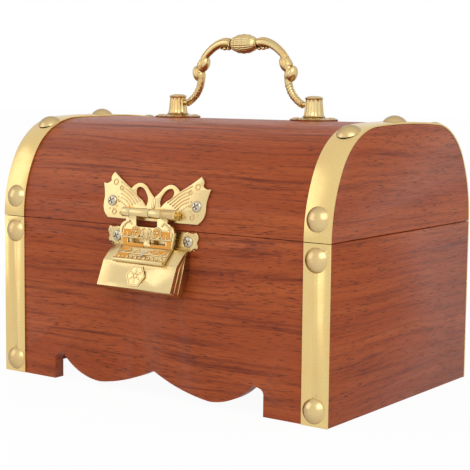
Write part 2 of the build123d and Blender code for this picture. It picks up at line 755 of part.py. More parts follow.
def lock_bolt():
    """Return the bolt, open: a hub on the plug's peg, an arm, and a rod bent about the plug's axis."""
    start = 90 + degrees(asin(bolt_rest / bolt_reach))
    section = Plane.XZ * Pos(bolt_reach, 0) * Circle(bolt_radius)
    rod = Rot(0, 0, start) * revolve(section, axis=Axis.Z, revolution_arc=bolt_bend_angle)
    thick = 2 * (bolt_depth - plug_length)
    arm = Rot(0, 0, start + bolt_bend_angle) * block(0, bolt_reach, -bolt_arm_width / 2, bolt_arm_width / 2,
                                                     -thick / 2, thick / 2)
    hub = Cylinder(bolt_hub_radius, thick) + arm + rod - Cylinder(plug_peg_radius + pin_fit, thick + overrun)
    return plug_plane * Pos(0, 0, -bolt_depth) * hub


# Handle
def handle_post(x):
    """Return one handle post: flange cut to the crown of the lid, tapered post, low cap and its two bores."""
    flange = Pos(x, handle_back, post_level - flange_height) * Cylinder(flange_radius, 2 * flange_height)
    flange -= lid_block(x - 2 * flange_radius, x + 2 * flange_radius)
    foot = Pos(x, handle_back, post_level)
    column = foot * Pos(0, 0, post_height / 2) * Cone(post_foot_radius, post_top_radius, post_height)
    cap = foot * Pos(0, 0, post_height) * domed(post_top_radius, post_cap, post_top_radius / 2, post_cap)
    post = flange + column + cap
    inner = abs(x) - post_top_radius - trunnion_length
    end = bail_half_width + trunnion_length + trunnion_end_gap
    side = 1 if x > 0 else -1
    post -= bar(side * inner, side * end, pivot, trunnion_radius + pin_fit)
    drill = post_level + handle_screw_height + trunnion_end_gap
    return post - Pos(x, handle_back, drill - crown_top / 2) * Cylinder(handle_screw_radius + pin_fit, crown_top)


def bail_point(name):
    """Return the x, height and radius of a station of the bail."""
    x_share, z_share, radius_share = bail_shares[name]
    return x_share * bail_half_width, pivot[1] + z_share * bail_rise, radius_share * bail_rod_radius


def bail_length(a, b):
    """Return a tapered length of the bail from one station to the next, with a ball at its end."""
    start = Vector(a[0], pivot[0], a[1])
    end = Vector(b[0], pivot[0], b[1])
    run = Plane(origin=start, z_dir=end - start)
    span = (end - start).length
    rod = Cylinder(a[2], span) if a[2] == b[2] else Cone(a[2], b[2], span)
    return run * Pos(0, 0, span / 2) * rod + Pos(*end) * Sphere(b[2])


def handle_bail():
    """Return the swinging bail with its leaf buds, oval grip and trunnions."""
    stations = [bail_point(name) for name in bail_shares]
    first = stations[0]
    half = Pos(first[0], pivot[0], first[1]) * Sphere(first[2])
    for a, b in zip(stations, stations[1:]):
        half += bail_length(a, b)
    half += bar(first[0], first[0] + trunnion_length, pivot, trunnion_radius)
    level = pivot[1] + bail_rise
    profile = [
        Edge.make_line((0, 0, 0), (grip_half_length, 0, 0)),
        Edge.make_line((grip_half_length, 0, 0), (grip_half_length, 0, grip_end_radius)),
        Edge.make_three_point_arc((grip_half_length, 0, grip_end_radius), grip_middle(), (0, 0, grip_radius)),
        Edge.make_line((0, 0, grip_radius), (0, 0, 0)),
    ]
    half += Pos(0, pivot[0], level) * revolve(Face(Wire(profile)), axis=Axis.X)
    return half + mirror(half, about=Plane.YZ)


def grip_middle():
    """Return a point halfway along the swelling side of the grip."""
    fall = grip_radius - grip_end_radius
    swell = (grip_half_length ** 2 + fall ** 2) / (2 * fall)
    angle = asin(grip_half_length / swell) / 2
    return (swell * sin(angle), 0, grip_radius - swell + swell * cos(angle))


def handle_washer(x):
    """Return the washer under a handle screw, inside the lid."""
    ring = Cylinder(washer_radius, washer) - Cylinder(handle_screw_radius + pin_fit, washer + overrun)
    return Pos(x, handle_back, washer_level - washer / 2) * ring


# Wooden boards
plate_holes = {
    "catch": [drilled(place, plate_screw_shank_radius + shank_fit, plate_screw_length)
              for place in catch_screw_places],
    "case": [drilled(place, case_screw_shank_radius + shank_fit, case_screw_length)
             for place in case_screw_places],
    "butterfly": [drilled(place, plate_screw_shank_radius + shank_fit, plate_screw_length)
                  for place in butterfly_screw_places],
    "base_hinge": [drilled(place, hinge_screw_shank_radius + shank_fit, hinge_screw_length)
                   for place in base_hinge_screw_places],
    "lid_hinge": [drilled(place, hinge_screw_shank_radius + shank_fit, hinge_screw_length)
                  for place in lid_hinge_screw_places],
    "handle": [drilled(place, handle_screw_radius + shank_fit, handle_screw_length)
               for place in handle_screw_places],
}
front_board = skirted_board() - groove()
back_board = mirror(front_board, about=Plane.XZ)
save("front_panel", without(front_board, nail_holes["base"] + plate_holes["catch"] + plate_holes["case"]))
save("back_panel", without(back_board, nail_holes["base"] + plate_holes["base_hinge"]))
save("bottom_board", bottom())
lid_skin = lid_band(-half_length + board, half_length - board, -lid_board, 0)
save("lid_sheet", without(lid_skin, nail_holes["lid"] + plate_holes["butterfly"] + plate_holes["lid_hinge"]
                          + plate_holes["handle"]))

for name, side in (("left", -1), ("right", 1)):
    save(name + "_end_panel", base_end(side) - groove())
    inner, outer = sorted((side * (half_length - board), side * half_length))
    save("lid_" + name + "_end", lid_block(inner, outer))
    for face, side_y in (("front", -1), ("back", 1)):
        save(face + "_" + name + "_strap", without(base_strap(side, side_y), nail_holes["base"]))
    inner, outer = sorted((side * (half_length - strap_width), side * half_length))
    save("lid_" + name + "_strap", without(lid_band(inner, outer, 0, strap), nail_holes["lid"]))
    centre = side * (half_length - hinge_inset)
    save(name + "_hinge_base_leaf", without(base_leaf(centre), plate_holes["base_hinge"]))
    save(name + "_hinge_lid_leaf", without(lid_leaf(centre), plate_holes["lid_hinge"]))
    save(name + "_hinge_pin", hinge_pin(centre))
    save(name + "_handle_post", handle_post(side * post_half_spacing))


# Nails, screws and washers, each kind as one group
def group(places, radius, height, shank_radius, shank_length):
    """Return a like fastener at every place."""
    return [place * domed(radius, height, shank_radius, shank_length) for place in places]


save("base_strap_nails", group(base_nail_places, nail_head_radius, nail_head_height,
                               nail_shank_radius, nail_length))
save("lid_strap_nails", group(lid_nail_places, nail_head_radius, nail_head_height,
                              nail_shank_radius, nail_length))
save("base_hinge_screws", group(base_hinge_screw_places, hinge_screw_head_radius, hinge_screw_head,
                                hinge_screw_shank_radius, hinge_screw_length))
save("lid_hinge_screws", group(lid_hinge_screw_places, hinge_screw_head_radius, hinge_screw_head,
                               hinge_screw_shank_radius, hinge_screw_length))
save("butterfly_screws", group(butterfly_screw_places, plate_screw_head_radius, plate_screw_head,
                               plate_screw_shank_radius, plate_screw_length))
save("catch_plate_screws", group(catch_screw_places, plate_screw_head_radius, plate_screw_head,
                                 plate_screw_shank_radius, plate_screw_length))
save("lock_case_screws", group(case_screw_places, case_screw_head_radius, case_screw_head,
                               case_screw_shank_radius, case_screw_length))
save("handle_screws", group(handle_screw_places, handle_screw_head_radius, handle_screw_head,
                            handle_screw_radius, handle_screw_length))
save("handle_washers", [handle_washer(x) for x in post_xs])

# Butterfly, hasp, lock and handle
save("butterfly_plate", without(butterfly_plate(), plate_holes["butterfly"]))
save("hasp_pin", hasp_pin())
save("hasp_plate", hasp_plate())
save("hasp_staple", hasp_staple())
save("catch_plate", without(catch(), plate_holes["catch"] + plate_holes["case"]))
save("lock_case", lock_case())
save("lock_back_cover", without(lock_back_cover(), plate_holes["case"]))
save("lock_plug", lock_plug())
save("lock_bolt", lock_bolt())
save("handle_bail", handle_bail())

# Places of the joints, for whoever poses the chest
for name, (y, z) in (("lid hinge", hinge_axis), ("hasp barrel", barrel_axis), ("bail pivot", pivot),
                     ("plug centre", plug_centre)):
    print(f"{name}: y {y + origin_shift:.4f} z {z:.4f}")
print(f"origin shift {origin_shift:.4f}, size {length:.1f} x {front_reach + back_reach:.1f}")
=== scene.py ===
import json
import math

import bpy
from mathutils import Matrix, Vector


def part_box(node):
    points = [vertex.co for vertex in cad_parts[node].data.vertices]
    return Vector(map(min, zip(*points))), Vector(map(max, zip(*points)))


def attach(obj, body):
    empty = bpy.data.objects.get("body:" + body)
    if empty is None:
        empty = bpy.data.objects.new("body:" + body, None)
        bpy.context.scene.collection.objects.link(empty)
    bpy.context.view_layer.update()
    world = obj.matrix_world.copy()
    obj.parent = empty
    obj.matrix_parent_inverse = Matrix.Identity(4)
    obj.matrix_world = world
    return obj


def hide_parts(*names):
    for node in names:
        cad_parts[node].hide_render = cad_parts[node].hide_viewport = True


bl_info = {
    "name": "Treasure chest box",
    "version": (1, 0, 0),
    "blender": (4, 5, 0),
    "location": "View3D > Sidebar > Chest",
    "description": "Finishes a small treasure chest: boards, straps, butterfly hasp, lock and handle",
    "category": "Object",
}

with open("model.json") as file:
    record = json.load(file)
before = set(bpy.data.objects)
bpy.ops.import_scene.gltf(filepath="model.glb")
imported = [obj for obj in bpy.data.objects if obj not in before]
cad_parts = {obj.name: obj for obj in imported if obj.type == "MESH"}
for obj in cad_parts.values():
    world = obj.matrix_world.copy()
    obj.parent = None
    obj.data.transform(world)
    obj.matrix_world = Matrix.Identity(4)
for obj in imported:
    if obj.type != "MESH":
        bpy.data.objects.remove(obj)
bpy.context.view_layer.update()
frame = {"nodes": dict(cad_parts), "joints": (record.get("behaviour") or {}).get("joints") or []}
MM = 0.001
PIVOTS = {joint["name"]: Vector(joint["pos_m"]) for joint in frame["joints"] if "pos_m" in joint}
SIDES = (-1, 1)
ALONG_X = Matrix.Rotation(math.pi / 2, 4, "Y")


# Sizes and colours that a user would change
def length_property(name, description, default):
    """Return a length in millimetres as a property in metres."""
    return bpy.props.FloatProperty(name=name, description=description, default=default * MM, unit="LENGTH")


def colour_property(name, description, default):
    """Return a linear colour as a property."""
    return bpy.props.FloatVectorProperty(name=name, description=description, default=default, subtype="COLOR",
                                         size=3, min=0, max=1)


def angle_property(name, description, default):
    """Return an angle in degrees as a property in radians."""
    return bpy.props.FloatProperty(name=name, description=description, default=math.radians(default),
                                   subtype="ANGLE")


class ChestWood(bpy.types.PropertyGroup):
    """Colours and grain of the stained boards."""
    stain: colour_property("Stain", "Main colour of the stained wood", (0.345, 0.066, 0.016))
    late_wood: colour_property("Late wood", "Colour of the darker growth rings", (0.130, 0.018, 0.006))
    pore: colour_property("Pores", "Colour of the open pores", (0.050, 0.009, 0.006))
    light_wood: colour_property("Light wood", "Colour of the paler streaks", (0.480, 0.112, 0.028))
    grain_length: length_property("Grain length", "Length of one streak of the grain", 95)
    grain_width: length_property("Grain width", "Width of one streak of the grain", 2.3)
    pore_length: length_property("Pore length", "Length of one open pore", 5.5)
    pore_width: length_property("Pore width", "Width of one open pore", 0.42)
    edge: length_property("Eased edge", "Width of the eased edges of the boards", 0.45)
    end_rise: angle_property("Grain rise", "How much the grain of the end boards rises to the back", 5)


class ChestBrass(bpy.types.PropertyGroup):
    """Colours of the brass, and of the shade painted into its recesses, crevices and rims."""
    strap: colour_property("Strap", "Colour of the straps", (0.790, 0.590, 0.250))
    nail: colour_property("Nail", "Colour of the nail heads", (0.740, 0.560, 0.270))
    lock: colour_property("Lock", "Colour of the lock and the butterfly", (0.760, 0.590, 0.290))
    handle: colour_property("Handle", "Colour of the cast handle", (0.780, 0.620, 0.300))
    # Recess: orange of the lacquer speckle and tint, also painted into recesses and orange patches as shade
    recess: colour_property("Recess", "Colour of the orange lacquer speckle and tint, also painted into recesses as shade", (0.780, 0.300, 0.020))
    # Crevice: painted shade that darkens the narrowest gaps of the brass
    crevice_shade: colour_property("Crevice shade", "Colour of the painted shade in the narrowest gaps", (0.030, 0.012, 0.004))
    # Rim: painted shade on round brass seen edge on, standing in for the wood that it reflects
    rim_shade_colour: colour_property("Rim shade", "Colour of the painted shade on round brass seen edge on", (0.180, 0.085, 0.025))
    screw: colour_property("Screw", "Colour of the plate screws", (0.560, 0.520, 0.410))
    steel: colour_property("Steel", "Colour of the zinc-plated inner parts", (0.600, 0.580, 0.540))
    edge: length_property("Rounded edge", "Width of the rounded edges of the brass", 0.18)


class ChestHardware(bpy.types.PropertyGroup):
    """Sizes of the butterfly, the hasp, the lock and the handle."""
    plate_tilt: angle_property("Plate tilt", "How far the butterfly plate leans back", 11.27)
    barrel_drop: length_property("Barrel drop", "From the screw line down to the barrel", 6.4)
    barrel_stand: length_property("Barrel stand", "From the lid out to the barrel's centre", 3.5)
    barrel_radius: length_property("Barrel radius", "Outside of the barrel", 2.3)
    plate: length_property("Plate", "Thickness of the butterfly plate", 1.0)
    wing_half: length_property("Wing half width", "From the middle to a wing's shoulder", 33)
    wing_rise: length_property("Wing rise", "From the screw line to a wing's tip", 12.9)
    rib: length_property("Rib", "Half the width of an embossed rib", 0.30)
    bead: length_property("Bead", "Radius of an embossed bead", 0.45)
    roof_angle: angle_property("Roof angle", "Slope of the lock's roof", 45)
    lock_tilt: angle_property("Lock tilt", "How far the face of the lock leans out", 22.9)
    lock_top: length_property("Lock top", "Depth of the flat top of the lock", 2.5)
    lock_roof: length_property("Lock roof", "Length of the sloping roof of the lock", 9.9)
    lock_face: length_property("Lock face", "Length of the face of the lock", 12.6)
    screw_head: length_property("Screw head", "Radius of the heads of the plate screws", 2.7)
    post_half: length_property("Post half spacing", "From the middle to a handle post", 43.3)
    post_drop: length_property("Post drop", "From the bail's pivot down to the post's flange", 6.4)
    bail_half: length_property("Bail half width", "From the middle to the bail's eye", 36.6)
    bail_rise: length_property("Bail rise", "From the pivot to the middle of the grip", 30.6)


class ChestStage(bpy.types.PropertyGroup):
    """Camera, lamps and floor."""
    azimuth: angle_property("Azimuth", "Camera direction, turned from the front to the right", 35.89)
    elevation: angle_property("Elevation", "Camera height as an angle", 6.41)
    roll: angle_property("Roll", "Camera roll", 0.59)
    distance: length_property("Distance", "From the camera to its target", 677.8)
    target_side: length_property("Target side", "Target's place along X", -0.28)
    target_height: length_property("Target height", "Target's height", 73.12)
    lens: bpy.props.FloatProperty(name="Lens", description="Focal length in millimetres", default=99.64)


def settings(group):
    """Return one of the chest's groups of settings."""
    return getattr(bpy.context.scene, "chest_" + group)


# Selecting, placing and joining
def deselect():
    """Leave nothing selected."""
    bpy.ops.object.select_all(action="DESELECT")


def activate(piece):
    """Select one object alone and make it active."""
    deselect()
    piece.select_set(True)
    bpy.context.view_layer.objects.active = piece


def seat(piece, place):
    """Put a piece where it belongs and apply its place to its mesh."""
    activate(piece)
    piece.matrix_world = place @ piece.matrix_world
    bpy.context.view_layer.update()
    bpy.ops.object.transform_apply(location=True, rotation=True, scale=True)
    return piece


def join(name, pieces):
    """Join pieces into one mesh object."""
    activate(pieces[0])
    for piece in pieces:
        piece.select_set(True)
    if len(pieces) > 1:
        bpy.ops.object.join()
    joined = bpy.context.object
    joined.name = name
    joined.data.name = name
    return joined


def smooth(piece, angle=35):
    """Shade a piece smooth, with its sharp edges kept."""
    activate(piece)
    bpy.ops.object.shade_smooth_by_angle(angle=math.radians(angle))
    return piece


def outward(piece):
    """Merge doubles and point every face outwards."""
    activate(piece)
    bpy.ops.object.mode_set(mode="EDIT")
    bpy.ops.mesh.select_all(action="SELECT")
    bpy.ops.mesh.remove_doubles(threshold=1e-6)
    bpy.ops.mesh.normals_make_consistent(inside=False)
    bpy.ops.object.mode_set(mode="OBJECT")
    return piece


def finish(piece, material, body, slot, *nodes):
    """Give a piece its material and the body that it rides on, and hide the nodes that it replaces; slot is not
    used.
    """
    piece.data.materials.clear()
    piece.data.materials.append(material)
    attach(piece, body)
    if nodes:
        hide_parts(*nodes)
    return piece


def paint(node, material):
    """Give a CAD node a material."""
    piece = frame["nodes"][node]
    if piece.material_slots:
        piece.material_slots[0].material = material
    else:
        piece.data.materials.append(material)


def softened(node, name, width, flat=True):
    """Return a copy of a node with merged faces and rounded edges; flat keeps its large faces flat."""
    piece = bpy.data.objects.new(name, frame["nodes"][node].data.copy())
    bpy.context.scene.collection.objects.link(piece)
    activate(piece)
    bpy.ops.object.mode_set(mode="EDIT")
    bpy.ops.mesh.select_all(action="SELECT")
    bpy.ops.mesh.remove_doubles(threshold=1e-6)
    bpy.ops.mesh.dissolve_limited(angle_limit=math.radians(0.4))
    bpy.ops.mesh.normals_make_consistent(inside=False)
    bpy.ops.object.mode_set(mode="OBJECT")
    rounding = piece.modifiers.new("rounded edges", "BEVEL")
    rounding.limit_method = "ANGLE"
    rounding.angle_limit = math.radians(40)
    rounding.width = width
    rounding.segments = 2
    rounding.harden_normals = flat
    rounding.use_clamp_overlap = True
    bpy.ops.object.modifier_apply(modifier=rounding.name)
    return smooth(piece)


# Shapes that repeat
def flat_curve(name, outlines, thickness, rounding):
    """Return a bevelled plate over closed outlines, each point as (x, y, sharp); holes are outlines too."""
    curve = bpy.data.curves.new(name, "CURVE")
    curve.dimensions = "2D"
    curve.fill_mode = "BOTH"
    curve.resolution_u = 8
    for outline in outlines:
        spline = curve.splines.new("BEZIER")
        spline.bezier_points.add(len(outline) - 1)
        spline.use_cyclic_u = True
        for point, (x, y, sharp) in zip(spline.bezier_points, outline):
            point.co = (x, y, 0)
            point.handle_left_type = point.handle_right_type = "VECTOR" if sharp else "AUTO"
    curve.extrude = thickness / 2 - rounding
    curve.bevel_depth = rounding
    curve.bevel_resolution = 2
    curve.offset = -rounding
    piece = bpy.data.objects.new(name, curve)
    bpy.context.scene.collection.objects.link(piece)
    activate(piece)
    bpy.ops.object.convert(target="MESH")
    return outward(bpy.context.object)


def tube(name, points, radius, closed=False, sides=3, swell=None, order_smooth=True):
    """Return a round tube through points, with its radius swelled at each point where swell is given."""
    curve = bpy.data.curves.new(name, "CURVE")
    curve.dimensions = "3D"
    curve.resolution_u = 6
    spline = curve.splines.new("BEZIER")
    spline.bezier_points.add(len(points) - 1)
    spline.use_cyclic_u = closed
    for index, (point, place) in enumerate(zip(spline.bezier_points, points)):
        point.co = place
        point.handle_left_type = point.handle_right_type = "AUTO" if order_smooth else "VECTOR"
        point.radius = swell[index] if swell else 1
    curve.bevel_depth = radius
    curve.bevel_resolution = sides
    curve.use_fill_caps = True
    piece = bpy.data.objects.new(name, curve)
    bpy.context.scene.collection.objects.link(piece)
    activate(piece)
    bpy.ops.object.convert(target="MESH")
    return outward(bpy.context.object)


def bead(place, size, segments=16, rings=10, turn=0.0):
    """Return a round or stretched bead, turned about Z, with a radius for each of its axes."""
    bpy.ops.mesh.primitive_uv_sphere_add(segments=segments, ring_count=rings, radius=1)
    piece = bpy.context.object
    turned = Matrix.Rotation(turn, 4, "Z") @ Matrix.Diagonal((*size, 1))
    return seat(piece, Matrix.Translation(place) @ turned)


def lathe(name, profile, segments=48):
    """Return a turned piece about Z through (radius, height) points, closed at both ends."""
    radius, height = profile[0]
    bpy.ops.mesh.primitive_circle_add(vertices=segments, radius=radius, fill_type="NGON",
                                      location=(0, 0, height))
    piece = bpy.context.object
    piece.name = name
    bpy.ops.object.transform_apply(location=True)
    bpy.ops.object.mode_set(mode="EDIT")
    bpy.ops.mesh.select_all(action="SELECT")
    for new_radius, new_height in profile[1:]:
        bpy.ops.mesh.extrude_region_move(TRANSFORM_OT_translate={"value": (0, 0, new_height - height)})
        ratio = new_radius / radius
        bpy.ops.transform.resize(value=(ratio, ratio, 1), center_override=(0, 0, 0))
        radius, height = new_radius, new_height
    bpy.ops.object.mode_set(mode="OBJECT")
    return outward(piece)


def ring(place, radius, thickness, squash=1.0):
    """Return a ring that lies flat about Z."""
    bpy.ops.mesh.primitive_torus_add(major_radius=radius, minor_radius=thickness, major_segments=24,
                                     minor_segments=8)
    return seat(bpy.context.object, Matrix.Translation(place) @ Matrix.Diagonal((1, squash, 1, 1)))


def on_circle(radius, turn, level=0.0):
    """Return a point on a circle about Z, at a turn from X."""
    return (radius * math.cos(turn), radius * math.sin(turn), level)


def mirrored(name, piece):
    """Return a mirrored copy of a piece, across X, with its faces pointing outwards."""
    copy = bpy.data.objects.new(name, piece.data.copy())
    bpy.context.scene.collection.objects.link(copy)
    seat(copy, Matrix.Diagonal((-1, 1, 1, 1)))
    return outward(copy)


def plane_place(origin, up, out):
    """Return the matrix of a plane whose X is the chest's X, with a given up and out direction."""
    matrix = Matrix.Identity(4)
    for column, axis in enumerate((Vector((1, 0, 0)), up, out, origin)):
        for row in range(3):
            matrix[row][column] = axis[row]
    return matrix


# Orange patches of painted shade in the gaps and recesses of the hasp
SHADE_PATCH = "shade_patch"


def paint_shade_patch(piece):
    """Mark a piece as an orange patch of painted shade, in an attribute that the brass reads."""
    attribute = piece.data.attributes.new(SHADE_PATCH, "FLOAT", "POINT")
    attribute.data.foreach_set("value", [1.0] * len(piece.data.vertices))
    return piece


def shade_patch_plate(low, high, level, turn=0.0):
    """Return a thin plate of painted orange shade on a plane, between two corners."""
    bpy.ops.mesh.primitive_cube_add(size=1)
    shape = Matrix.Diagonal((abs(high[0] - low[0]) * MM, abs(high[1] - low[1]) * MM, 0.3 * MM, 1))
    middle = ((low[0] + high[0]) / 2 * MM, (low[1] + high[1]) / 2 * MM, level * MM - 0.15 * MM)
    return paint_shade_patch(seat(bpy.context.object, Matrix.Translation(middle) @ Matrix.Rotation(turn, 4, "Z") @ shape))


# Shader groups
def new_group(name, inputs, outputs):
    """Return a new shader group with its input and output nodes."""
    tree = bpy.data.node_groups.new(name, "ShaderNodeTree")
    for socket_name, kind, default in inputs:
        socket = tree.interface.new_socket(socket_name, in_out="INPUT", socket_type="NodeSocket" + kind)
        if default is not None:
            socket.default_value = default
    for socket_name, kind in outputs:
        tree.interface.new_socket(socket_name, in_out="OUTPUT", socket_type="NodeSocket" + kind)
    return tree, tree.nodes.new("NodeGroupInput"), tree.nodes.new("NodeGroupOutput")


def add_noise(tree, vector, scale, detail=3.0, roughness=0.5, distortion=0.0):
    """Add a noise texture and return its value."""
    noise = tree.nodes.new("ShaderNodeTexNoise")
    noise.inputs["Scale"].default_value = scale
    noise.inputs["Detail"].default_value = detail
    noise.inputs["Roughness"].default_value = roughness
    noise.inputs["Distortion"].default_value = distortion
    tree.links.new(vector, noise.inputs["Vector"])
    return noise.outputs["Fac"]


def add_math(tree, operation, a, b):
    """Add a maths node and return its value; a and b are sockets or numbers."""
    node = tree.nodes.new("ShaderNodeMath")
    node.operation = operation
    for socket, value in zip(node.inputs, (a, b)):
        if isinstance(value, (int, float)):
            socket.default_value = value
        else:
            tree.links.new(value, socket)
    return node.outputs[0]


def add_vector(tree, operation, a, b):
    """Add a vector maths node and return its vector."""
    node = tree.nodes.new("ShaderNodeVectorMath")
    node.operation = operation
    for socket, value in zip(node.inputs, (a, b)):
        if isinstance(value, tuple):
            socket.default_value = value
        else:
            tree.links.new(value, socket)
    return node.outputs[0]


def add_shade(tree, reach):
    """Add a measure of how open the surface is within a reach: 1 in the open, less in a recess."""
    shade = tree.nodes.new("ShaderNodeAmbientOcclusion")
    shade.samples = 8
    shade.only_local = True
    shade.inputs["Distance"].default_value = reach
    return shade.outputs["AO"]


def add_range(tree, value, low, high, to_low=0.0, to_high=1.0):
    """Add a clamped map range and return its result."""
    node = tree.nodes.new("ShaderNodeMapRange")
    tree.links.new(value, node.inputs["Value"])
    for name, number in (("From Min", low), ("From Max", high), ("To Min", to_low), ("To Max", to_high)):
        if isinstance(number, (int, float)):
            node.inputs[name].default_value = number
        else:
            tree.links.new(number, node.inputs[name])
    return node.outputs["Result"]


def add_mix(tree, factor, a, b):
    """Add a colour mix and return its colour."""
    node = tree.nodes.new("ShaderNodeMix")
    node.data_type = "RGBA"
    for socket, value in ((node.inputs[0], factor), (node.inputs[6], a), (node.inputs[7], b)):
        if isinstance(value, (int, float)):
            socket.default_value = value
        elif isinstance(value, tuple):
            socket.default_value = value
        else:
            tree.links.new(value, socket)
    return node.outputs[2]


def grain_group():
    """Build the grain of stained wood: its colour, height and roughness; the grain runs along X."""
    wood = settings("wood")
    tree, given, result = new_group(
        "wood grain",
        [("Vector", "Vector", None), ("Stain", "Color", (*wood.stain, 1)),
         ("Late wood", "Color", (*wood.late_wood, 1)),
         ("Pore", "Color", (*wood.pore, 1)), ("Light wood", "Color", (*wood.light_wood, 1)),
         ("Figure", "Float", 1.0)],
        [("Color", "Color"), ("Height", "Float"), ("Roughness", "Float")])
    streak_scale = (1 / wood.grain_length, 1 / wood.grain_width, 1 / wood.grain_width)
    pore_scale = (1 / wood.pore_length, 1 / wood.pore_width, 1 / wood.pore_width)
    vector = given.outputs["Vector"]
    drift = add_noise(tree, add_vector(tree, "MULTIPLY", vector, (9.0, 26.0, 26.0)), 1.0, 1.0)
    offset = tree.nodes.new("ShaderNodeCombineXYZ")
    wander = add_math(tree, "MULTIPLY", add_math(tree, "SUBTRACT", drift, 0.5), 0.009)
    tree.links.new(wander, offset.inputs["Y"])
    tree.links.new(wander, offset.inputs["Z"])
    warped = add_vector(tree, "ADD", vector, offset.outputs[0])
    streak = add_noise(tree, add_vector(tree, "MULTIPLY", warped, streak_scale), 1.0, 4.0, 0.62)
    fine_scale, broad_scale = (tuple(factor * s for s in streak_scale) for factor in (4.5, 0.3))
    fine = add_noise(tree, add_vector(tree, "MULTIPLY", warped, fine_scale), 1.0, 3.0, 0.6)
    broad = add_noise(tree, add_vector(tree, "MULTIPLY", warped, broad_scale), 1.0, 2.0)
    pore = add_noise(tree, add_vector(tree, "MULTIPLY", warped, pore_scale), 1.0, 1.5, 0.5)
    patch = add_noise(tree, add_vector(tree, "MULTIPLY", vector, (30.0, 120.0, 120.0)), 1.0, 2.0)
    late = add_math(tree, "MULTIPLY", add_range(tree, streak, 0.50, 0.70), given.outputs["Figure"])
    light = add_range(tree, broad, 0.42, 0.66, 0.0, 0.55)
    colour = add_mix(tree, light, given.outputs["Stain"], given.outputs["Light wood"])
    colour = add_mix(tree, add_math(tree, "MULTIPLY", late, 0.8), colour, given.outputs["Late wood"])
    colour = add_mix(tree, add_range(tree, fine, 0.52, 0.75, 0.0, 0.45), colour, given.outputs["Late wood"])
    deep = add_range(tree, pore, add_range(tree, patch, 0.3, 0.7, 0.62, 0.52), 0.74)
    colour = add_mix(tree, add_math(tree, "MULTIPLY", deep, 0.85), colour, given.outputs["Pore"])
    tree.links.new(colour, result.inputs["Color"])
    height = add_math(tree, "SUBTRACT", add_math(tree, "MULTIPLY", fine, 0.25), deep)
    tree.links.new(height, result.inputs["Height"])
    tree.links.new(add_range(tree, fine, 0.3, 0.8, 0.36, 0.52), result.inputs["Roughness"])
    return tree


def lacquer_and_shade_group():
    """Build the uneven lacquer of cheap brass: speckle in its colour, its roughness and its height, with painted
    shade in recesses, in crevices and on the orange patches.
    """
    brass = settings("brass")
    tree, given, result = new_group(
        "brass lacquer and painted shade",
        [("Vector", "Vector", None), ("Brass", "Color", (*brass.strap, 1)),
         ("Recess", "Color", (*brass.recess, 1)),
         ("Crevice shade", "Color", (*brass.crevice_shade, 1)), ("Speckle", "Float", 0.5), ("Tint", "Float", 0.0),
         ("Recess shade strength", "Float", 0.85), ("Crevice shade strength", "Float", 0.9),
         ("Shade patch", "Float", 0.0)],
        [("Color", "Color"), ("Height", "Float"), ("Roughness", "Float")])
    vector = given.outputs["Vector"]
    grainy = add_noise(tree, vector, 1400.0, 2.0, 0.6)
    cloudy = add_noise(tree, vector, 95.0, 3.0, 0.55)
    spots = add_math(tree, "MULTIPLY", add_range(tree, grainy, 0.52, 0.72), given.outputs["Speckle"])
    cloud = add_math(tree, "MULTIPLY", add_range(tree, cloudy, 0.45, 0.75), given.outputs["Tint"])
    recess = given.outputs["Recess"]
    colour = add_mix(tree, add_math(tree, "MULTIPLY", spots, 0.45), given.outputs["Brass"], recess)
    colour = add_mix(tree, cloud, colour, recess)
    # Painted shade: pieces marked as orange shade patches take the recess colour
    colour = add_mix(tree, add_math(tree, "MULTIPLY", given.outputs["Shade patch"], 0.85), colour, recess)
    near, wide = add_shade(tree, 0.9 * MM), add_shade(tree, 2.6 * MM)
    # Painted shade: recesses take the orange recess colour by how enclosed they are
    deep = add_math(tree, "MULTIPLY", add_range(tree, wide, 0.86, 0.45), given.outputs["Recess shade strength"])
    colour = add_mix(tree, deep, colour, recess)
    # Painted shade: the narrowest gaps darken towards the crevice colour by how enclosed they are
    painted_crevice_shade = add_math(tree, "MULTIPLY", add_range(tree, near, 0.80, 0.42), given.outputs["Crevice shade strength"])
    colour = add_mix(tree, painted_crevice_shade, colour, given.outputs["Crevice shade"])
    tree.links.new(colour, result.inputs["Color"])
    tree.links.new(add_math(tree, "MULTIPLY", grainy, given.outputs["Speckle"]), result.inputs["Height"])
    tree.links.new(add_range(tree, cloudy, 0.3, 0.7, 0.20, 0.34), result.inputs["Roughness"])
    return tree


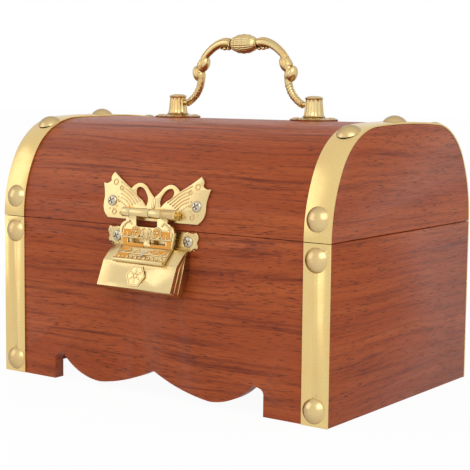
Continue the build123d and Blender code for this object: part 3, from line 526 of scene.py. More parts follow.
def new_material(name, group, turn=(0, 0, 0), metallic=0.0, bump=0.2, depth=0.0002, coat=0.0, rim=0.0):
    """Return a material whose colour, roughness and bump come from a shader group on object coordinates."""
    material = bpy.data.materials.new(name)
    material.use_nodes = True
    tree = material.node_tree
    shader = tree.nodes["Principled BSDF"]
    shader.inputs["Metallic"].default_value = metallic
    shader.inputs["Coat Weight"].default_value = coat
    shader.inputs["Coat Roughness"].default_value = 0.25
    if not metallic:
        shader.inputs["Specular IOR Level"].default_value = 0.2
    coordinates = tree.nodes.new("ShaderNodeTexCoord")
    mapping = tree.nodes.new("ShaderNodeMapping")
    mapping.inputs["Rotation"].default_value = turn
    tree.links.new(coordinates.outputs["Object"], mapping.inputs["Vector"])
    node = tree.nodes.new("ShaderNodeGroup")
    node.node_tree = group
    tree.links.new(mapping.outputs["Vector"], node.inputs["Vector"])
    colour = node.outputs["Color"]
    # Pieces marked as orange shade patches carry their painted shade into the group
    if metallic:
        shade_patch = tree.nodes.new("ShaderNodeAttribute")
        shade_patch.attribute_name = SHADE_PATCH
        tree.links.new(shade_patch.outputs["Fac"], node.inputs["Shade patch"])
    # Painted shade: round brass darkens towards the rim colour at grazing angles, standing in for the wood that it
    # reflects
    if rim:
        facing = tree.nodes.new("ShaderNodeLayerWeight")
        facing.inputs["Blend"].default_value = 0.42
        share = add_math(tree, "MULTIPLY", facing.outputs["Facing"], rim)
        colour = add_mix(tree, share, colour, (*settings("brass").rim_shade_colour, 1))
    tree.links.new(colour, shader.inputs["Base Color"])
    tree.links.new(node.outputs["Roughness"], shader.inputs["Roughness"])
    relief = tree.nodes.new("ShaderNodeBump")
    relief.inputs["Strength"].default_value = bump
    relief.inputs["Distance"].default_value = depth
    tree.links.new(node.outputs["Height"], relief.inputs["Height"])
    tree.links.new(relief.outputs["Normal"], shader.inputs["Normal"])
    return material, node


materials = {}


def build_materials():
    """Build every finish of the chest."""
    wood, brass = settings("wood"), settings("brass")
    grain, lacquer = grain_group(), lacquer_and_shade_group()
    turned = {"wood_front": (0, 0, 0), "wood_lid": (0, 0, 0), "wood_bottom": (0, 0, 0),
              "wood_end": (0, wood.end_rise, math.pi / 2)}
    for name, turn in turned.items():
        materials[name], node = new_material(name, grain, turn, 0.0, 0.35, 0.0002, 0.03)
        node.inputs["Figure"].default_value = 0.8 if name == "wood_end" else 1.0
    finishes = {
        "brass_strap": (brass.strap, 0.55, 0.10), "brass_nail": (brass.nail, 0.25, 0.15),
        "brass_lock": (brass.lock, 0.10, 0.10), "brass_handle": (brass.handle, 0.35, 0.30),
        "brass_hinge": (brass.strap, 0.35, 0.15), "steel_inner": (brass.steel, 0.20, 0.0),
        "brass_screw": (brass.screw, 0.10, 0.05),
    }
    # Share of painted rim shade for each brass finish
    other_rim_shade = 0.3
    rim_shades = {"brass_nail": 0.95, "brass_handle": 0.75, "brass_lock": 0.25, "brass_strap": 0.2}
    for name, (colour, speckle, tint) in finishes.items():
        rim = rim_shades.get(name, other_rim_shade)
        materials[name], node = new_material(name, lacquer, (0, 0, 0), 1.0, 0.12, 0.0001, rim=rim)
        node.inputs["Brass"].default_value = (*colour, 1)
        node.inputs["Speckle"].default_value = speckle
        node.inputs["Tint"].default_value = tint


# Wooden boards and plain metal
class ChestBoards(bpy.types.Operator):
    """Ease the edges of the boards and give them their stained grain"""
    bl_idname = "chest.boards"
    bl_label = "Boards"

    def execute(self, context):
        edge = settings("wood").edge
        boards = {
            "front_panel": ("front_board", "wood_front", "base"),
            "back_panel": ("back_board", "wood_front", "base"),
            "left_end_panel": ("left_end_board", "wood_end", "base"),
            "right_end_panel": ("right_end_board", "wood_end", "base"),
            "lid_sheet": ("lid_board", "wood_lid", "lid"),
            "lid_left_end": ("lid_left_end_board", "wood_end", "lid"),
            "lid_right_end": ("lid_right_end_board", "wood_end", "lid"),
        }
        for node, (name, finish_name, body) in boards.items():
            board = softened(node, name, edge, node != "lid_sheet")
            finish(board, materials[finish_name], body, finish_name, node)
        paint("bottom_board", materials["wood_bottom"])
        return {"FINISHED"}


class ChestStraps(bpy.types.Operator):
    """Round the edges of the straps and hinges, and finish the nails and plain metal"""
    bl_idname = "chest.straps"
    bl_label = "Straps, nails and hinges"

    def execute(self, context):
        edge = settings("brass").edge
        for side in ("left", "right"):
            for face in ("front", "back"):
                node = face + "_" + side + "_strap"
                strap = softened(node, node + "_brass", edge)
                finish(strap, materials["brass_strap"], "base", "brass_strap", node)
            node = "lid_" + side + "_strap"
            strap = softened(node, node + "_brass", edge, False)
            finish(strap, materials["brass_strap"], "lid", "brass_strap", node)
            for part, body in (("base_leaf", "base"), ("lid_leaf", "lid")):
                node = side + "_hinge_" + part
                leaf = softened(node, node + "_brass", edge / 2)
                finish(leaf, materials["brass_hinge"], body, "brass_hinge", node)
            paint(side + "_hinge_pin", materials["brass_hinge"])
        for node in ("base_strap_nails", "lid_strap_nails"):
            paint(node, materials["brass_nail"])
        for node in ("base_hinge_screws", "lid_hinge_screws", "hasp_pin", "lock_case_screws"):
            paint(node, materials["brass_hinge"])
        for node in ("hasp_staple", "lock_back_cover", "lock_bolt", "handle_screws", "handle_washers"):
            paint(node, materials["steel_inner"])
        return {"FINISHED"}


# Butterfly plate: outline as shares of the wing's half width and rise
WING_SHARES = [
    (0.839, -0.744, True), (0.915, -0.560, False), (0.952, -0.300, False), (0.950, 0.050, False),
    (0.972, 0.330, False), (1.000, 0.570, True), (0.930, 0.555, False), (0.858, 0.650, True),
    (0.862, 0.820, False), (0.809, 1.000, True), (0.700, 0.800, False), (0.580, 0.600, False),
    (0.455, 0.411, True), (0.400, 0.540, False), (0.300, 0.640, False), (0.185, 0.560, False),
    (0.090, 0.330, False), (0.000, 0.124, True),
]
LOOP_HOLE_SHARES = [
    (0.330, 0.450, False), (0.255, 0.470, False), (0.160, 0.270, False), (0.115, 0.000, False),
    (0.135, -0.230, True), (0.210, -0.030, False), (0.345, 0.250, False),
]
BOTTOM_SHARE = -0.760


def wing_outline(hardware):
    """Return the butterfly's outline, right wing first and then its mirror image."""
    half, rise = hardware.wing_half, hardware.wing_rise
    right = [(x * half, y * rise, sharp) for x, y, sharp in WING_SHARES]
    left = [(-x, y, sharp) for x, y, sharp in reversed(right[:-1])]
    return right + left


def butterfly_place(hardware):
    """Return the plane of the butterfly plate, at its screw line, on the face of the wood."""
    tilt = hardware.plate_tilt
    up = Vector((0, math.sin(tilt), math.cos(tilt)))
    out = Vector((0, -math.cos(tilt), math.sin(tilt)))
    foot = PIVOTS["hasp_swing"] + up * hardware.barrel_drop - out * hardware.barrel_stand
    return plane_place(foot, up, out)


def wing_relief(hardware):
    """Return the embossed ribs, beads and circles of the right wing, in the plane of the plate."""
    face = hardware.plate
    rib, dot = hardware.rib, hardware.bead
    along = Vector((0.84, 0.54, 0))
    across = Vector((0.54, -0.84, 0))
    root = Vector((11.0 * MM, 1.2 * MM, face))
    pitch = 1.45 * MM
    pieces = []
    for index in range(5):
        start = root + across * pitch * index + along * (index - 3.5) * 0.9 * MM
        end = root + across * pitch * index + along * (13.0 - 1.3 * index) * MM
        middle = (start + end) / 2 - across * 0.7 * MM
        pieces.append(tube("rib", [start, middle, end], rib))
    for index in range(9):
        place = root + across * pitch * 5.3 + along * (index * 1.45 - 3.0) * MM
        pieces.append(bead(place - across * 0.5 * MM * math.sin(math.pi * index / 8), (dot, dot, dot * 0.8)))
    for x, y, radius in ((25.2, 8.0, 1.3), (21.2, 5.2, 0.9), (24.0, -6.6, 1.2), (19.6, -6.9, 0.8)):
        pieces.append(ring((x * MM, y * MM, face), radius * MM, rib))
    for index in range(7):
        turn = math.radians(150 + 34 * index)
        place = (26.0 + 4.1 * math.cos(turn), -1.2 + 4.1 * math.sin(turn))
        if place[0] < 29.0:
            pieces.append(bead((place[0] * MM, place[1] * MM, face), (dot, dot, dot * 0.8)))
    return pieces


class ChestButterfly(bpy.types.Operator):
    """Model the butterfly plate with its loops, ribs, beads and barrel"""
    bl_idname = "chest.butterfly"
    bl_label = "Butterfly plate"

    def execute(self, context):
        hardware = settings("hardware")
        half, rise, plate = hardware.wing_half, hardware.wing_rise, hardware.plate
        outline = [(0, BOTTOM_SHARE * rise, True)] + wing_outline(hardware)
        holes = [[(side * x * half, y * rise, sharp) for x, y, sharp in LOOP_HOLE_SHARES] for side in SIDES]
        rounding = 0.16 * MM
        sheet = flat_curve("butterfly", [outline] + holes, plate, rounding)
        seat(sheet, Matrix.Translation((0, 0, plate / 2)))
        pieces = [sheet]
        for piece in wing_relief(hardware):
            pieces += [piece, mirrored("mirrored", piece)]
        thorax = bead((0, -0.14 * rise, plate), (1.1 * MM, 3.4 * MM, 0.7 * MM), 24, 14)
        pieces.append(thorax)
        wings = seat(join("butterfly_wings", pieces), butterfly_place(hardware))
        barrel = barrel_copy("butterfly_plate", "butterfly_barrel", hardware)
        whole = join("butterfly", [wings, barrel])
        finish(smooth(whole), materials["brass_lock"], "lid", "brass_lock", "butterfly_plate")
        return {"FINISHED"}


def barrel_copy(node, name, hardware):
    """Return a copy of only the barrel knuckles of a node, with rounded edges."""
    piece = softened(node, name, 0.12 * MM)
    centre, reach = PIVOTS["hasp_swing"], hardware.barrel_radius + 0.05 * MM
    activate(piece)
    mesh = piece.data
    keep = [math.hypot(v.co.y - centre.y, v.co.z - centre.z) <= reach for v in mesh.vertices]
    bpy.ops.object.mode_set(mode="EDIT")
    bpy.ops.mesh.select_all(action="DESELECT")
    bpy.ops.object.mode_set(mode="OBJECT")
    for vertex, kept in zip(mesh.vertices, keep):
        vertex.select = not kept
    bpy.ops.object.mode_set(mode="EDIT")
    bpy.ops.mesh.select_mode(type="VERT")
    bpy.ops.mesh.delete(type="VERT")
    bpy.ops.mesh.select_all(action="SELECT")
    bpy.ops.mesh.fill_holes(sides=0)
    bpy.ops.object.mode_set(mode="OBJECT")
    return piece


# Hasp: an upright openwork sheet, a lip on the roof of the lock and embossed rosettes
OUTER_SCROLL = [(10.4, 85.6), (12.8, 84.2), (15.2, 81.4), (15.0, 78.8), (13.2, 77.6), (11.6, 78.6), (12.2, 80.2)]
INNER_SCROLL = [(3.4, 78.0), (2.2, 79.6), (2.6, 81.8), (1.2, 82.3)]


def lock_planes(hardware):
    """Return the brow and fold of the lock with the down and out directions of its roof and face."""
    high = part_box("lock_case")[1]
    brow = Vector((0, high.y - hardware.lock_top, high.z))
    roof, tilt = hardware.roof_angle, hardware.lock_tilt
    roof_down = Vector((0, -math.cos(roof), -math.sin(roof)))
    roof_out = Vector((0, -math.sin(roof), math.cos(roof)))
    face_down = Vector((0, -math.sin(tilt), -math.cos(tilt)))
    face_out = Vector((0, -math.cos(tilt), math.sin(tilt)))
    return brow, brow + roof_down * hardware.lock_roof, roof_down, roof_out, face_down, face_out


class ChestHasp(bpy.types.Operator):
    """Model the hasp with its window, rosettes, scrolls and ribbed lip"""
    bl_idname = "chest.hasp"
    bl_label = "Hasp"

    def execute(self, context):
        hardware = settings("hardware")
        brow, _, roof_down, roof_out, _, _ = lock_planes(hardware)
        sheet = softened("hasp_plate", "hasp", 0.14 * MM)
        pieces = [sheet]
        front = PIVOTS["hasp_swing"].y - hardware.barrel_radius + 0.6 * MM
        place = plane_place(Vector((0, front, 0)), Vector((0, 0, 1)), Vector((0, -1, 0)))
        pieces.append(seat(join("hasp_face", self.face_relief(hardware)), place))
        lip_origin = brow + roof_out * 1.5 * MM
        lip_place = plane_place(lip_origin, -roof_down, roof_out)
        pieces.append(seat(join("hasp_lip", self.lip_relief(hardware)), lip_place))
        pieces += self.coil(hardware)
        whole = join("hasp", pieces)
        finish(smooth(whole), materials["brass_lock"], "hasp", "brass_lock", "hasp_plate")
        return {"FINISHED"}

    def coil(self, hardware):
        """Return the rings that turn the right knuckle of the hasp into a coil."""
        axis, rings = PIVOTS["hasp_swing"], []
        lean = ALONG_X @ Matrix.Rotation(math.radians(9), 4, "X")
        for index in range(9):
            place = Vector(((8.9 + 0.92 * index) * MM, axis.y, axis.z))
            wrap = ring((0, 0, 0), hardware.barrel_radius - 0.10 * MM, 0.34 * MM)
            rings.append(seat(wrap, Matrix.Translation(place) @ lean))
        return rings

    def face_relief(self, hardware):
        """Return rosettes, leaf and scrolls on the upright face, in the plane of the sheet."""
        rib, pieces = hardware.rib, []
        for side in SIDES:
            centre = Vector((side * 6.6 * MM, 80.6 * MM, 0))
            # A disc and plates of painted orange shade behind the rosette and in the gaps of the openwork
            bpy.ops.mesh.primitive_cylinder_add(vertices=24, radius=2.4 * MM, depth=0.3 * MM)
            pieces.append(paint_shade_patch(seat(bpy.context.object, Matrix.Translation(centre))))
            pieces.append(shade_patch_plate((side * 9.6, 78.4), (side * 14.2, 81.4), 0.12))
            pieces.append(shade_patch_plate((side * 2.2, 73.6), (side * 14.6, 74.8), 0.12))
            pieces.append(shade_patch_plate((side * 12.2, 75.0), (side * 15.0, 77.2), 0.10))
            pieces.append(ring(centre, 2.5 * MM, rib * 1.3))
            pieces.append(bead(centre, (0.8 * MM, 0.8 * MM, 0.7 * MM)))
            for index in range(6):
                turn = math.pi / 3 * index
                place = centre + Vector((math.cos(turn), math.sin(turn), 0)) * 1.6 * MM
                pieces.append(bead(place, (0.75 * MM, 0.4 * MM, 0.45 * MM), 12, 8, turn))
            for points, width in ((OUTER_SCROLL, 1.3), (INNER_SCROLL, 1.2)):
                scroll = [(side * x * MM, z * MM, 0) for x, z in points]
                pieces.append(tube("scroll", scroll, rib * width))
            pieces.append(bead((side * 13.6 * MM, 82.9 * MM, 0), (0.5 * MM, 0.5 * MM, 0.4 * MM)))
            leaf_place, leaf_size = (side * 9.6 * MM, 84.4 * MM, 0), (1.0 * MM, 0.5 * MM, 0.4 * MM)
            pieces.append(bead(leaf_place, leaf_size, turn=side * 0.6))
            pieces.append(tube("band", [(side * 1.6 * MM, 77.6 * MM, 0), (side * 8 * MM, 77.5 * MM, 0),
                                        (side * 15.0 * MM, 77.6 * MM, 0)], rib * 1.6))
        pieces.append(bead((0, 79.4 * MM, 0), (1.0 * MM, 2.6 * MM, 0.7 * MM), 20, 12))
        return pieces

    def lip_relief(self, hardware):
        """Return the ribbed lip on the sloping part, in the plane of the roof, measured up from the brow."""
        rib, pieces = hardware.rib, []
        # Plates of painted orange shade in the recesses of the lip
        pieces.append(shade_patch_plate((-14.8, -10.6), (-7.6, -6.0), 0.12))
        pieces.append(shade_patch_plate((5.2, -5.4), (13.8, -2.6), 0.12))
        pieces.append(shade_patch_plate((-13.8, -4.6), (-8.0, -2.4), 0.12))
        for index in range(11):
            x = (index - 5) * 2.6 * MM
            length = 1.6 * MM if index % 2 else 2.6 * MM
            pieces.append(bead((x, -8.0 * MM, 0), (0.75 * MM, length / 2, 0.55 * MM), 12, 8))
        for y in (-5.6, -9.6):
            pieces.append(tube("lip_rib", [(-14.6 * MM, y * MM, 0), (0, y * MM, 0), (14.6 * MM, y * MM, 0)],
                               rib * 1.5))
        for side in SIDES:
            wave = [(side * (2 + 1.6 * index) * MM, (-4.2 + 0.9 * math.sin(index * 1.9)) * MM, 0)
                    for index in range(8)]
            pieces.append(tube("lip_wave", wave, rib * 1.2))
        return pieces


# Catch plate, lock case, plug head and screws. Half the catch plate from its top middle: shares of its half
# width and of the height of an ear
EAR_HALF = 4.65 * MM
TONGUE_SHARE = 0.640
CATCH_SHARES = [
    (0.600, 0.000, True), (0.720, -0.030, False), (0.770, 0.000, True), (0.860, -0.060, False),
    (0.955, 0.000, True), (0.995, -0.260, False), (0.965, -0.520, False), (0.985, -0.780, True),
    (0.900, -0.830, False), (0.820, -1.000, True), (0.640, -1.050, True),
]


class ChestLock(bpy.types.Operator):
    """Round the catch plate and the lock case, and model the embossed head of the plug"""
    bl_idname = "chest.lock"
    bl_label = "Lock and catch plate"

    def execute(self, context):
        hardware = settings("hardware")
        brow, fold, roof_down, _, face_down, face_out = lock_planes(hardware)
        plate = smooth(self.catch_plate())
        finish(plate, materials["brass_lock"], "base", "brass_lock", "catch_plate")
        case = softened("lock_case", "lock_case_brass", 0.45 * MM)
        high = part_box("lock_case")[1]
        ridges = []
        for side in SIDES:
            x = high.x * side
            for share in (0.30, 0.62):
                top = brow + Vector((x, 0.8 * MM - share * 1.6 * MM, -1.4 * MM))
                foot = fold + face_down * hardware.lock_face - face_out * 9.6 * MM * share
                bend = fold - face_out * 8.4 * MM * share + roof_down * 0.2 * MM
                points = [top, bend + Vector((x, 0, 0)), foot + Vector((x, 0, 0)) - face_down * 0.8 * MM]
                ridges.append(tube("side_ridge", points, 0.28 * MM, order_smooth=False))
        whole = join("lock_case_brass", [case] + ridges)
        finish(smooth(whole), materials["brass_lock"], "base", "brass_lock", "lock_case")
        centre = PIVOTS["plug_turn"]
        place = plane_place(centre, -face_down, face_out)
        head = softened("lock_plug", "lock_plug_brass", 0.1 * MM)
        emblem = self.emblem(hardware)
        seat(emblem, place @ Matrix.Translation((0, 0, 0.6 * MM)))
        plug = join("lock_plug_brass", [head, emblem])
        finish(smooth(plug), materials["brass_lock"], "plug", "brass_lock", "lock_plug")
        return {"FINISHED"}

    def catch_plate(self):
        """Return the catch plate, its ears drawn as shields with a rim and pimples."""
        low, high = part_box("catch_plate")
        upper = [(x * high.x, z, sharp) for x, z, sharp in CATCH_SHARES]
        right = [(x, high.z + z * (2 * EAR_HALF), sharp) for x, z, sharp in upper]
        tongue = TONGUE_SHARE * high.x
        right += [(tongue, low.z, True)]
        outline = right + [(-x, z, sharp) for x, z, sharp in reversed(right)]
        sheet = flat_curve("catch_plate", [outline], high.y - low.y, 0.16 * MM)
        pieces = [seat(sheet, Matrix.Translation((0, 0, (high.y - low.y) / 2)))]
        centre = (high.x - EAR_HALF, high.z - EAR_HALF)
        for ring_index, count in ((0, 12), (1, 17)):
            reach = (3.35 + 0.95 * ring_index) * MM
            for index in range(count):
                turn = 2 * math.pi * index / count
                x, z = centre[0] + reach * math.cos(turn), centre[1] + reach * math.sin(turn)
                if x < high.x - 0.5 * MM and abs(z - centre[1]) < EAR_HALF - 0.5 * MM:
                    dot = bead((x, z, high.y - low.y), (0.34 * MM, 0.34 * MM, 0.25 * MM), 10, 6)
                    pieces += [dot, mirrored("mirrored", dot)]
        place = plane_place(Vector((0, high.y, 0)), Vector((0, 0, 1)), Vector((0, -1, 0)))
        return seat(join("catch_plate_brass", pieces), place)

    def emblem(self, hardware):
        """Return a plain rosette and a six-sided rim for the head of the plug."""
        rib, pieces = hardware.rib * 0.8, []
        corners = [on_circle(5.0 * MM, math.pi / 3 * index) for index in range(6)]
        pieces.append(tube("rim", corners, rib, closed=True, order_smooth=False))
        pieces.append(ring((0, 0, 0), 1.1 * MM, rib))
        for index in range(6):
            turn = math.pi / 3 * index + math.pi / 6
            place = Vector((math.cos(turn), math.sin(turn), 0)) * 2.6 * MM
            pieces.append(bead(place, (1.2 * MM, 0.5 * MM, 0.25 * MM), 12, 8, turn))
        return join("emblem", pieces)


def crossed_screw(hardware):
    """Return the head of a cross-recess screw on the plane z = 0."""
    radius = hardware.screw_head
    profile = [(radius, 0), (radius, 0.25 * MM), (radius * 0.93, 0.62 * MM), (radius * 0.72, 0.98 * MM),
               (radius * 0.42, 1.15 * MM)]
    head = outward(lathe("screw_head", profile, 40))
    for turn in (0, math.pi / 2):
        bpy.ops.mesh.primitive_cube_add(size=1)
        cutter = bpy.context.object
        shape = Matrix.Rotation(turn + 0.5, 4, "Z") @ Matrix.Diagonal((radius * 1.25, 0.62 * MM, 1.1 * MM, 1))
        seat(cutter, Matrix.Translation((0, 0, 1.2 * MM)) @ shape)
        activate(head)
        recess = head.modifiers.new("cross recess", "BOOLEAN")
        recess.operation = "DIFFERENCE"
        recess.object = cutter
        bpy.ops.object.modifier_apply(modifier=recess.name)
        bpy.data.objects.remove(cutter)
    return head


class ChestScrews(bpy.types.Operator):
    """Model the cross-recess screws of the butterfly and of the catch plate"""
    bl_idname = "chest.screws"
    bl_label = "Plate screws"

    def execute(self, context):
        hardware = settings("hardware")
        model = crossed_screw(hardware)
        up = butterfly_place(hardware)
        butterfly_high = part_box("butterfly_screws")[1]
        catch_low, catch_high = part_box("catch_plate_screws")
        wing_x = butterfly_high.x - hardware.screw_head
        catch_x = catch_high.x - hardware.screw_head
        catch_level = (catch_low.z + catch_high.z) / 2
        catch_face = catch_low.y + 1.2 * MM
        wall = plane_place(Vector((0, catch_face, catch_level)), Vector((0, 0, 1)), Vector((0, -1, 0)))
        groups = {
            "butterfly_screws": [up @ Matrix.Translation((side * wing_x, -1.2 * MM, hardware.plate))
                                 for side in SIDES],
            "catch_plate_screws": [wall @ Matrix.Translation((side * catch_x, 0, 0)) for side in SIDES],
        }
        for (node, places), body in zip(groups.items(), ("lid", "base")):
            heads = []
            for place in places:
                copy = bpy.data.objects.new(node, model.data.copy())
                bpy.context.scene.collection.objects.link(copy)
                heads.append(seat(copy, place))
            whole = smooth(join(node + "_heads", heads))
            finish(whole, materials["brass_screw"], body, "brass_hinge", node)
        bpy.data.objects.remove(model)
        return {"FINISHED"}


# Handle
class ChestHandlePosts(bpy.types.Operator):
    """Model the fluted posts on their scalloped flanges"""
    bl_idname = "chest.handle_posts"
    bl_label = "Handle posts"

    def execute(self, context):
        hardware = settings("hardware")
        pivot = PIVOTS["bail_swing"]
        for name, side in (("left", -1), ("right", 1)):
            flange = self.flange()
            column = self.column()
            whole = join(name + "_post", [flange, column])
            level = pivot.z - hardware.post_drop
            seat(whole, Matrix.Translation((side * hardware.post_half, pivot.y, level)))
            finish(smooth(whole, 40), materials["brass_handle"], "lid", "brass_handle", name + "_handle_post")
        return {"FINISHED"}

    def flange(self):
        """Return the round flange with its ring, its petals and its scalloped edge."""
        profile = [(11.2, -2.1), (11.8, -1.4), (11.9, -0.9), (11.2, -0.55), (9.6, -0.35), (8.6, -0.7),
                   (7.6, -0.25), (6.6, 0.0), (5.6, 0.15)]
        piece = lathe("flange", [(r * MM, z * MM) for r, z in profile], 96)
        for vertex in piece.data.vertices:
            radius = math.hypot(vertex.co.x, vertex.co.y)
            if radius > 8.9 * MM:
                turn = math.atan2(vertex.co.y, vertex.co.x)
                wave = 1 + 0.035 * math.cos(16 * turn)
                vertex.co.x *= wave
                vertex.co.y *= wave
        turns = [math.pi / 8 * index for index in range(16)]
        petals = [bead(on_circle(9.9 * MM, turn, -0.4 * MM), (1.0 * MM, 0.6 * MM, 0.45 * MM), 12, 8, turn)
                  for turn in turns]
        return join("flange", [piece] + petals)

    def column(self):
        """Return the tapered post with its flutes, neck ring and low cap."""
        profile = [(5.6, 0.0), (5.7, 0.5), (5.25, 0.8), (5.1, 1.4), (4.9, 3.0), (4.7, 5.0), (4.5, 7.0), (4.35, 8.6),
                   (4.3, 9.0), (4.55, 9.3), (4.55, 9.8), (4.2, 10.1), (3.4, 10.45), (1.8, 10.75)]
        piece = lathe("column", [(r * MM, z * MM) for r, z in profile], 96)
        for vertex in piece.data.vertices:
            if 1.0 * MM < vertex.co.z < 8.8 * MM:
                turn = math.atan2(vertex.co.y, vertex.co.x)
                wave = 1 - 0.07 * (0.5 + 0.5 * math.cos(12 * turn))
                vertex.co.x *= wave
                vertex.co.y *= wave
        return piece


# The grip, and the stations of half the bail: shares of its half width and rise, and the radius in millimetres
GRIP_HALF = 8.75 * MM
GRIP_RADIUS = 4.85 * MM
BAIL_STATIONS = [
    (1.000, 0.000, 1.70), (0.960, 0.020, 1.72), (0.905, 0.068, 1.75), (0.845, 0.135, 1.80), (0.800, 0.215, 1.85),
    (0.768, 0.310, 1.90), (0.757, 0.400, 2.10), (0.768, 0.470, 2.70), (0.782, 0.520, 2.90), (0.770, 0.562, 2.35),
    (0.748, 0.600, 2.70), (0.735, 0.650, 3.00), (0.722, 0.700, 2.50), (0.705, 0.745, 1.90), (0.665, 0.812, 1.85),
    (0.602, 0.880, 1.95), (0.520, 0.950, 2.05), (0.425, 1.000, 2.20), (0.330, 1.022, 2.35), (0.250, 1.015, 2.30),
    (0.215, 1.005, 1.90),
]


class ChestBail(bpy.types.Operator):
    """Model the cast bail with its leaf buds, rope notches, scrolls and pitted grip"""
    bl_idname = "chest.bail"
    bl_label = "Bail"

    def execute(self, context):
        hardware = settings("hardware")
        pieces = self.half(hardware)
        pieces += [mirrored("mirrored", piece) for piece in pieces]
        pieces.append(self.grip(hardware))
        whole = join("bail", pieces)
        pivot = PIVOTS["bail_swing"]
        seat(whole, Matrix.Translation((0, pivot.y, pivot.z)))
        finish(smooth(whole, 40), materials["brass_handle"], "bail", "brass_handle", "handle_bail")
        return {"FINISHED"}

    def station(self, hardware, x, z):
        """Return a point of the bail about its pivot."""
        return Vector((x * hardware.bail_half, 0, z * hardware.bail_rise))

    def half(self, hardware):
        """Return the right half: rod, trunnion, buds, notches, flute lines and scroll."""
        points = [self.station(hardware, x, z) for x, z, _ in BAIL_STATIONS]
        swell = [radius for _, _, radius in BAIL_STATIONS]
        pieces = [tube("rod", points, MM, swell=swell, sides=6)]
        first = points[0]
        ends = [first + Vector((reach * MM, 0, 0)) for reach in (-0.5, 5.0)]
        pieces.append(tube("trunnion", ends, 1.45 * MM, sides=5, order_smooth=False))
        for index in range(3):
            place = self.station(hardware, 0.985 - 0.035 * index, 0.004 + 0.022 * index)
            collar = ring((0, 0, 0), 1.75 * MM, 0.42 * MM)
            lean = Matrix.Rotation(math.radians(80 - 12 * index), 4, "Y")
            pieces.append(seat(collar, Matrix.Translation(place) @ lean))
        for index in range(9):
            x, z, radius = BAIL_STATIONS[1 + index // 2]
            next_x, next_z, _ = BAIL_STATIONS[2 + index // 2]
            share = 0.5 * (index % 2)
            here = self.station(hardware, x + (next_x - x) * share, z + (next_z - z) * share)
            run = self.station(hardware, next_x, next_z) - self.station(hardware, x, z)
            wrap = ring((0, 0, 0), radius * 0.95 * MM, 0.34 * MM)
            lean = run.to_track_quat("Z", "Y").to_matrix().to_4x4()
            lean = lean @ Matrix.Rotation(math.radians(18), 4, "X")
            pieces.append(seat(wrap, Matrix.Translation(here) @ lean))
        buds = (((0.795, 0.500), (2.6, 3.1, 4.2), 14, 0.9), ((0.715, 0.660), (2.7, 3.0, 4.3), -24, -0.7))
        for (x, z), size, lean, shift in buds:
            leaf = bead((0, 0, 0), tuple(s * MM for s in size), 24, 16)
            turned = Matrix.Rotation(math.radians(lean), 4, "Y")
            place = self.station(hardware, x, z) + Vector((shift * MM, 0, 0))
            pieces.append(seat(leaf, Matrix.Translation(place) @ turned))
            for side in SIDES:
                vein = [place + turned @ Vector((0.3 * MM * k, side * 2.9 * MM * math.cos(0.5 * k), 1.7 * MM * k))
                        for k in (-1.6, 0, 1.6)]
                pieces.append(tube("vein", vein, 0.28 * MM))
        flute_stations = BAIL_STATIONS[13:20]
        for side in (-0.75, 0, 0.75):
            line = [self.station(hardware, x, z) + self.normal(index) * (radius * math.cos(side)) * MM
                    + Vector((0, radius * math.sin(side) * MM, 0))
                    for index, (x, z, radius) in enumerate(flute_stations, 13)]
            pieces.append(tube("flute", line, 0.3 * MM))
        for place, radius in (((0.335, 0.925), 1.25), ((0.265, 0.918), 1.0), ((0.395, 0.930), 0.85)):
            size = (radius * MM, 1.5 * MM, radius * 0.8 * MM)
            pieces.append(bead(self.station(hardware, *place), size, 16, 10))
        return pieces

    def normal(self, index):
        """Return the direction away from the middle of the handle at a station of the arch."""
        x0, z0, _ = BAIL_STATIONS[index - 1]
        x1, z1, _ = BAIL_STATIONS[min(index + 1, len(BAIL_STATIONS) - 1)]
        hardware = settings("hardware")
        run = self.station(hardware, x1, z1) - self.station(hardware, x0, z0)
        return Vector((run.z, 0, -run.x)).normalized()

    def grip(self, hardware):
        """Return the oval grip with its pitted surface and end rings."""
        bpy.ops.mesh.primitive_uv_sphere_add(segments=120, ring_count=80, radius=1)
        piece = bpy.context.object
        turned = ALONG_X @ Matrix.Diagonal((GRIP_RADIUS, GRIP_RADIUS, GRIP_HALF, 1))
        seat(piece, turned)
        for vertex in piece.data.vertices:
            turn = math.atan2(vertex.co.z, vertex.co.y)
            span = vertex.co.x / GRIP_HALF
            fade = max(0.0, 1 - span ** 4)
            pit = math.sin(12 * turn + 9 * span) * math.sin(12 * turn - 9 * span)
            wave = 1 + 0.06 * pit * fade
            vertex.co.y *= wave
            vertex.co.z *= wave
        seat(piece, Matrix.Translation((0, 0, hardware.bail_rise)))
        collars = [seat(ring((0, 0, 0), 2.3 * MM, 0.5 * MM),
                        Matrix.Translation((side * 8.2 * MM, 0, hardware.bail_rise)) @ ALONG_X)
                   for side in SIDES]
        return join("grip", [piece] + collars)


# Stage
def add_lamp(name, place, target, size, power):
    """Add a soft square lamp that faces a target."""
    bpy.ops.object.light_add(type="AREA", location=place)
    lamp = bpy.context.object
    lamp.name = name
    lamp.data.size = size
    lamp.data.energy = power
    lamp.rotation_euler = (Vector(target) - Vector(place)).to_track_quat("-Z", "Y").to_euler()
    return lamp


def seen_directly(tree):
    """Return a value that is 1 for camera, glossy and transmission rays."""
    light_path = tree.nodes.new("ShaderNodeLightPath")
    seen = light_path.outputs["Is Camera Ray"]
    for other in ("Is Glossy Ray", "Is Transmission Ray"):
        seen = add_math(tree, "MAXIMUM", seen, light_path.outputs[other])
    return seen


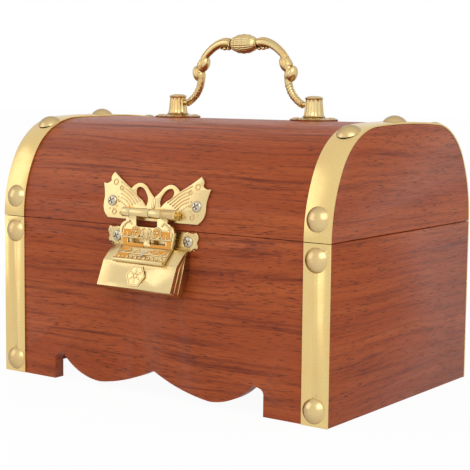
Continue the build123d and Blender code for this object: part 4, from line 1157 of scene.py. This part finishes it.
class ChestStageSetup(bpy.types.Operator):
    """Add the floor, the lamps, the world and the camera"""
    bl_idname = "chest.stage"
    bl_label = "Stage"

    def execute(self, context):
        self.floor()
        self.world()
        centre = (0, 0, 0.07)
        add_lamp("key_lamp", (0.9, -0.9, 0.95), centre, 0.9, 5.0)
        add_lamp("fill_lamp", (-0.9, -0.7, 0.5), centre, 0.8, 1.5)
        self.camera()
        context.scene.view_settings.view_transform = "Standard"
        return {"FINISHED"}

    def floor(self):
        """Add a white floor that keeps a soft shadow."""
        bpy.ops.mesh.primitive_plane_add(size=12)
        floor = bpy.context.object
        floor.name = "floor"
        material = bpy.data.materials.new("floor_white")
        material.use_nodes = True
        tree = material.node_tree
        shader = tree.nodes["Principled BSDF"]
        shader.inputs["Base Color"].default_value = (1, 1, 1, 1)
        shader.inputs["Roughness"].default_value = 1
        glow = tree.nodes.new("ShaderNodeEmission")
        glow.inputs["Strength"].default_value = 1.0
        mix = tree.nodes.new("ShaderNodeMixShader")
        tree.links.new(add_math(tree, "MULTIPLY", seen_directly(tree), 0.95), mix.inputs[0])
        tree.links.new(shader.outputs[0], mix.inputs[1])
        tree.links.new(glow.outputs[0], mix.inputs[2])
        tree.links.new(mix.outputs[0], tree.nodes["Material Output"].inputs["Surface"])
        floor.data.materials.append(material)

    def world(self):
        """Make a world that is white to the eye and in reflections, and softer as a light."""
        world = bpy.data.worlds.new("studio")
        bpy.context.scene.world = world
        world.use_nodes = True
        tree = world.node_tree
        background = tree.nodes["Background"]
        background.inputs["Color"].default_value = (1, 1, 1, 1)
        strength = add_range(tree, seen_directly(tree), 0.0, 1.0, 0.74, 1.0)
        tree.links.new(strength, background.inputs["Strength"])

    def camera(self):
        """Add the camera at the photograph's viewing angle."""
        stage = settings("stage")
        azimuth, elevation, roll = stage.azimuth, stage.elevation, stage.roll
        back = Vector((math.sin(azimuth) * math.cos(elevation), -math.cos(azimuth) * math.cos(elevation),
                       math.sin(elevation)))
        right = (-back).cross(Vector((0, 0, 1))).normalized()
        up = right.cross(-back)
        turned_right = right * math.cos(roll) + up * math.sin(roll)
        turned_up = up * math.cos(roll) - right * math.sin(roll)
        low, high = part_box("left_end_panel")
        target = Vector((stage.target_side, (low.y + high.y) / 2, stage.target_height))
        matrix = Matrix.Identity(4)
        for column, axis in enumerate((turned_right, turned_up, back, target + back * stage.distance)):
            for row in range(3):
                matrix[row][column] = axis[row]
        bpy.ops.object.camera_add()
        camera = bpy.context.object
        camera.name = "photo_camera"
        camera.matrix_world = matrix
        camera.data.lens = stage.lens
        camera.data.clip_start = 0.01
        bpy.context.scene.camera = camera


class ChestPanel(bpy.types.Panel):
    """List the steps that build the chest"""
    bl_idname = "VIEW3D_PT_chest"
    bl_label = "Treasure chest"
    bl_space_type = "VIEW_3D"
    bl_region_type = "UI"
    bl_category = "Chest"

    def draw(self, context):
        for step in STEPS:
            self.layout.operator(step.bl_idname)
        for group in GROUPS:
            settings_group = getattr(context.scene, "chest_" + group)
            for name in settings_group.__annotations__:
                self.layout.prop(settings_group, name)


GROUPS = {"wood": ChestWood, "brass": ChestBrass, "hardware": ChestHardware, "stage": ChestStage}
STEPS = (ChestStageSetup, ChestBoards, ChestStraps, ChestButterfly, ChestHasp, ChestLock, ChestScrews,
         ChestHandlePosts, ChestBail)


def register():
    """Register every class and attach the groups of settings to the scene."""
    for cls in (*GROUPS.values(), *STEPS, ChestPanel):
        bpy.utils.register_class(cls)
    for name, cls in GROUPS.items():
        setattr(bpy.types.Scene, "chest_" + name, bpy.props.PointerProperty(type=cls))


def unregister():
    """Remove the groups of settings and every class."""
    for name in GROUPS:
        delattr(bpy.types.Scene, "chest_" + name)
    for cls in reversed((*GROUPS.values(), *STEPS, ChestPanel)):
        bpy.utils.unregister_class(cls)


def main():
    """Build the chest around the frame."""
    register()
    build_materials()
    for step in STEPS:
        group, name = step.bl_idname.split(".")
        getattr(getattr(bpy.ops, group), name)()


if __name__ == "__main__":
    main()
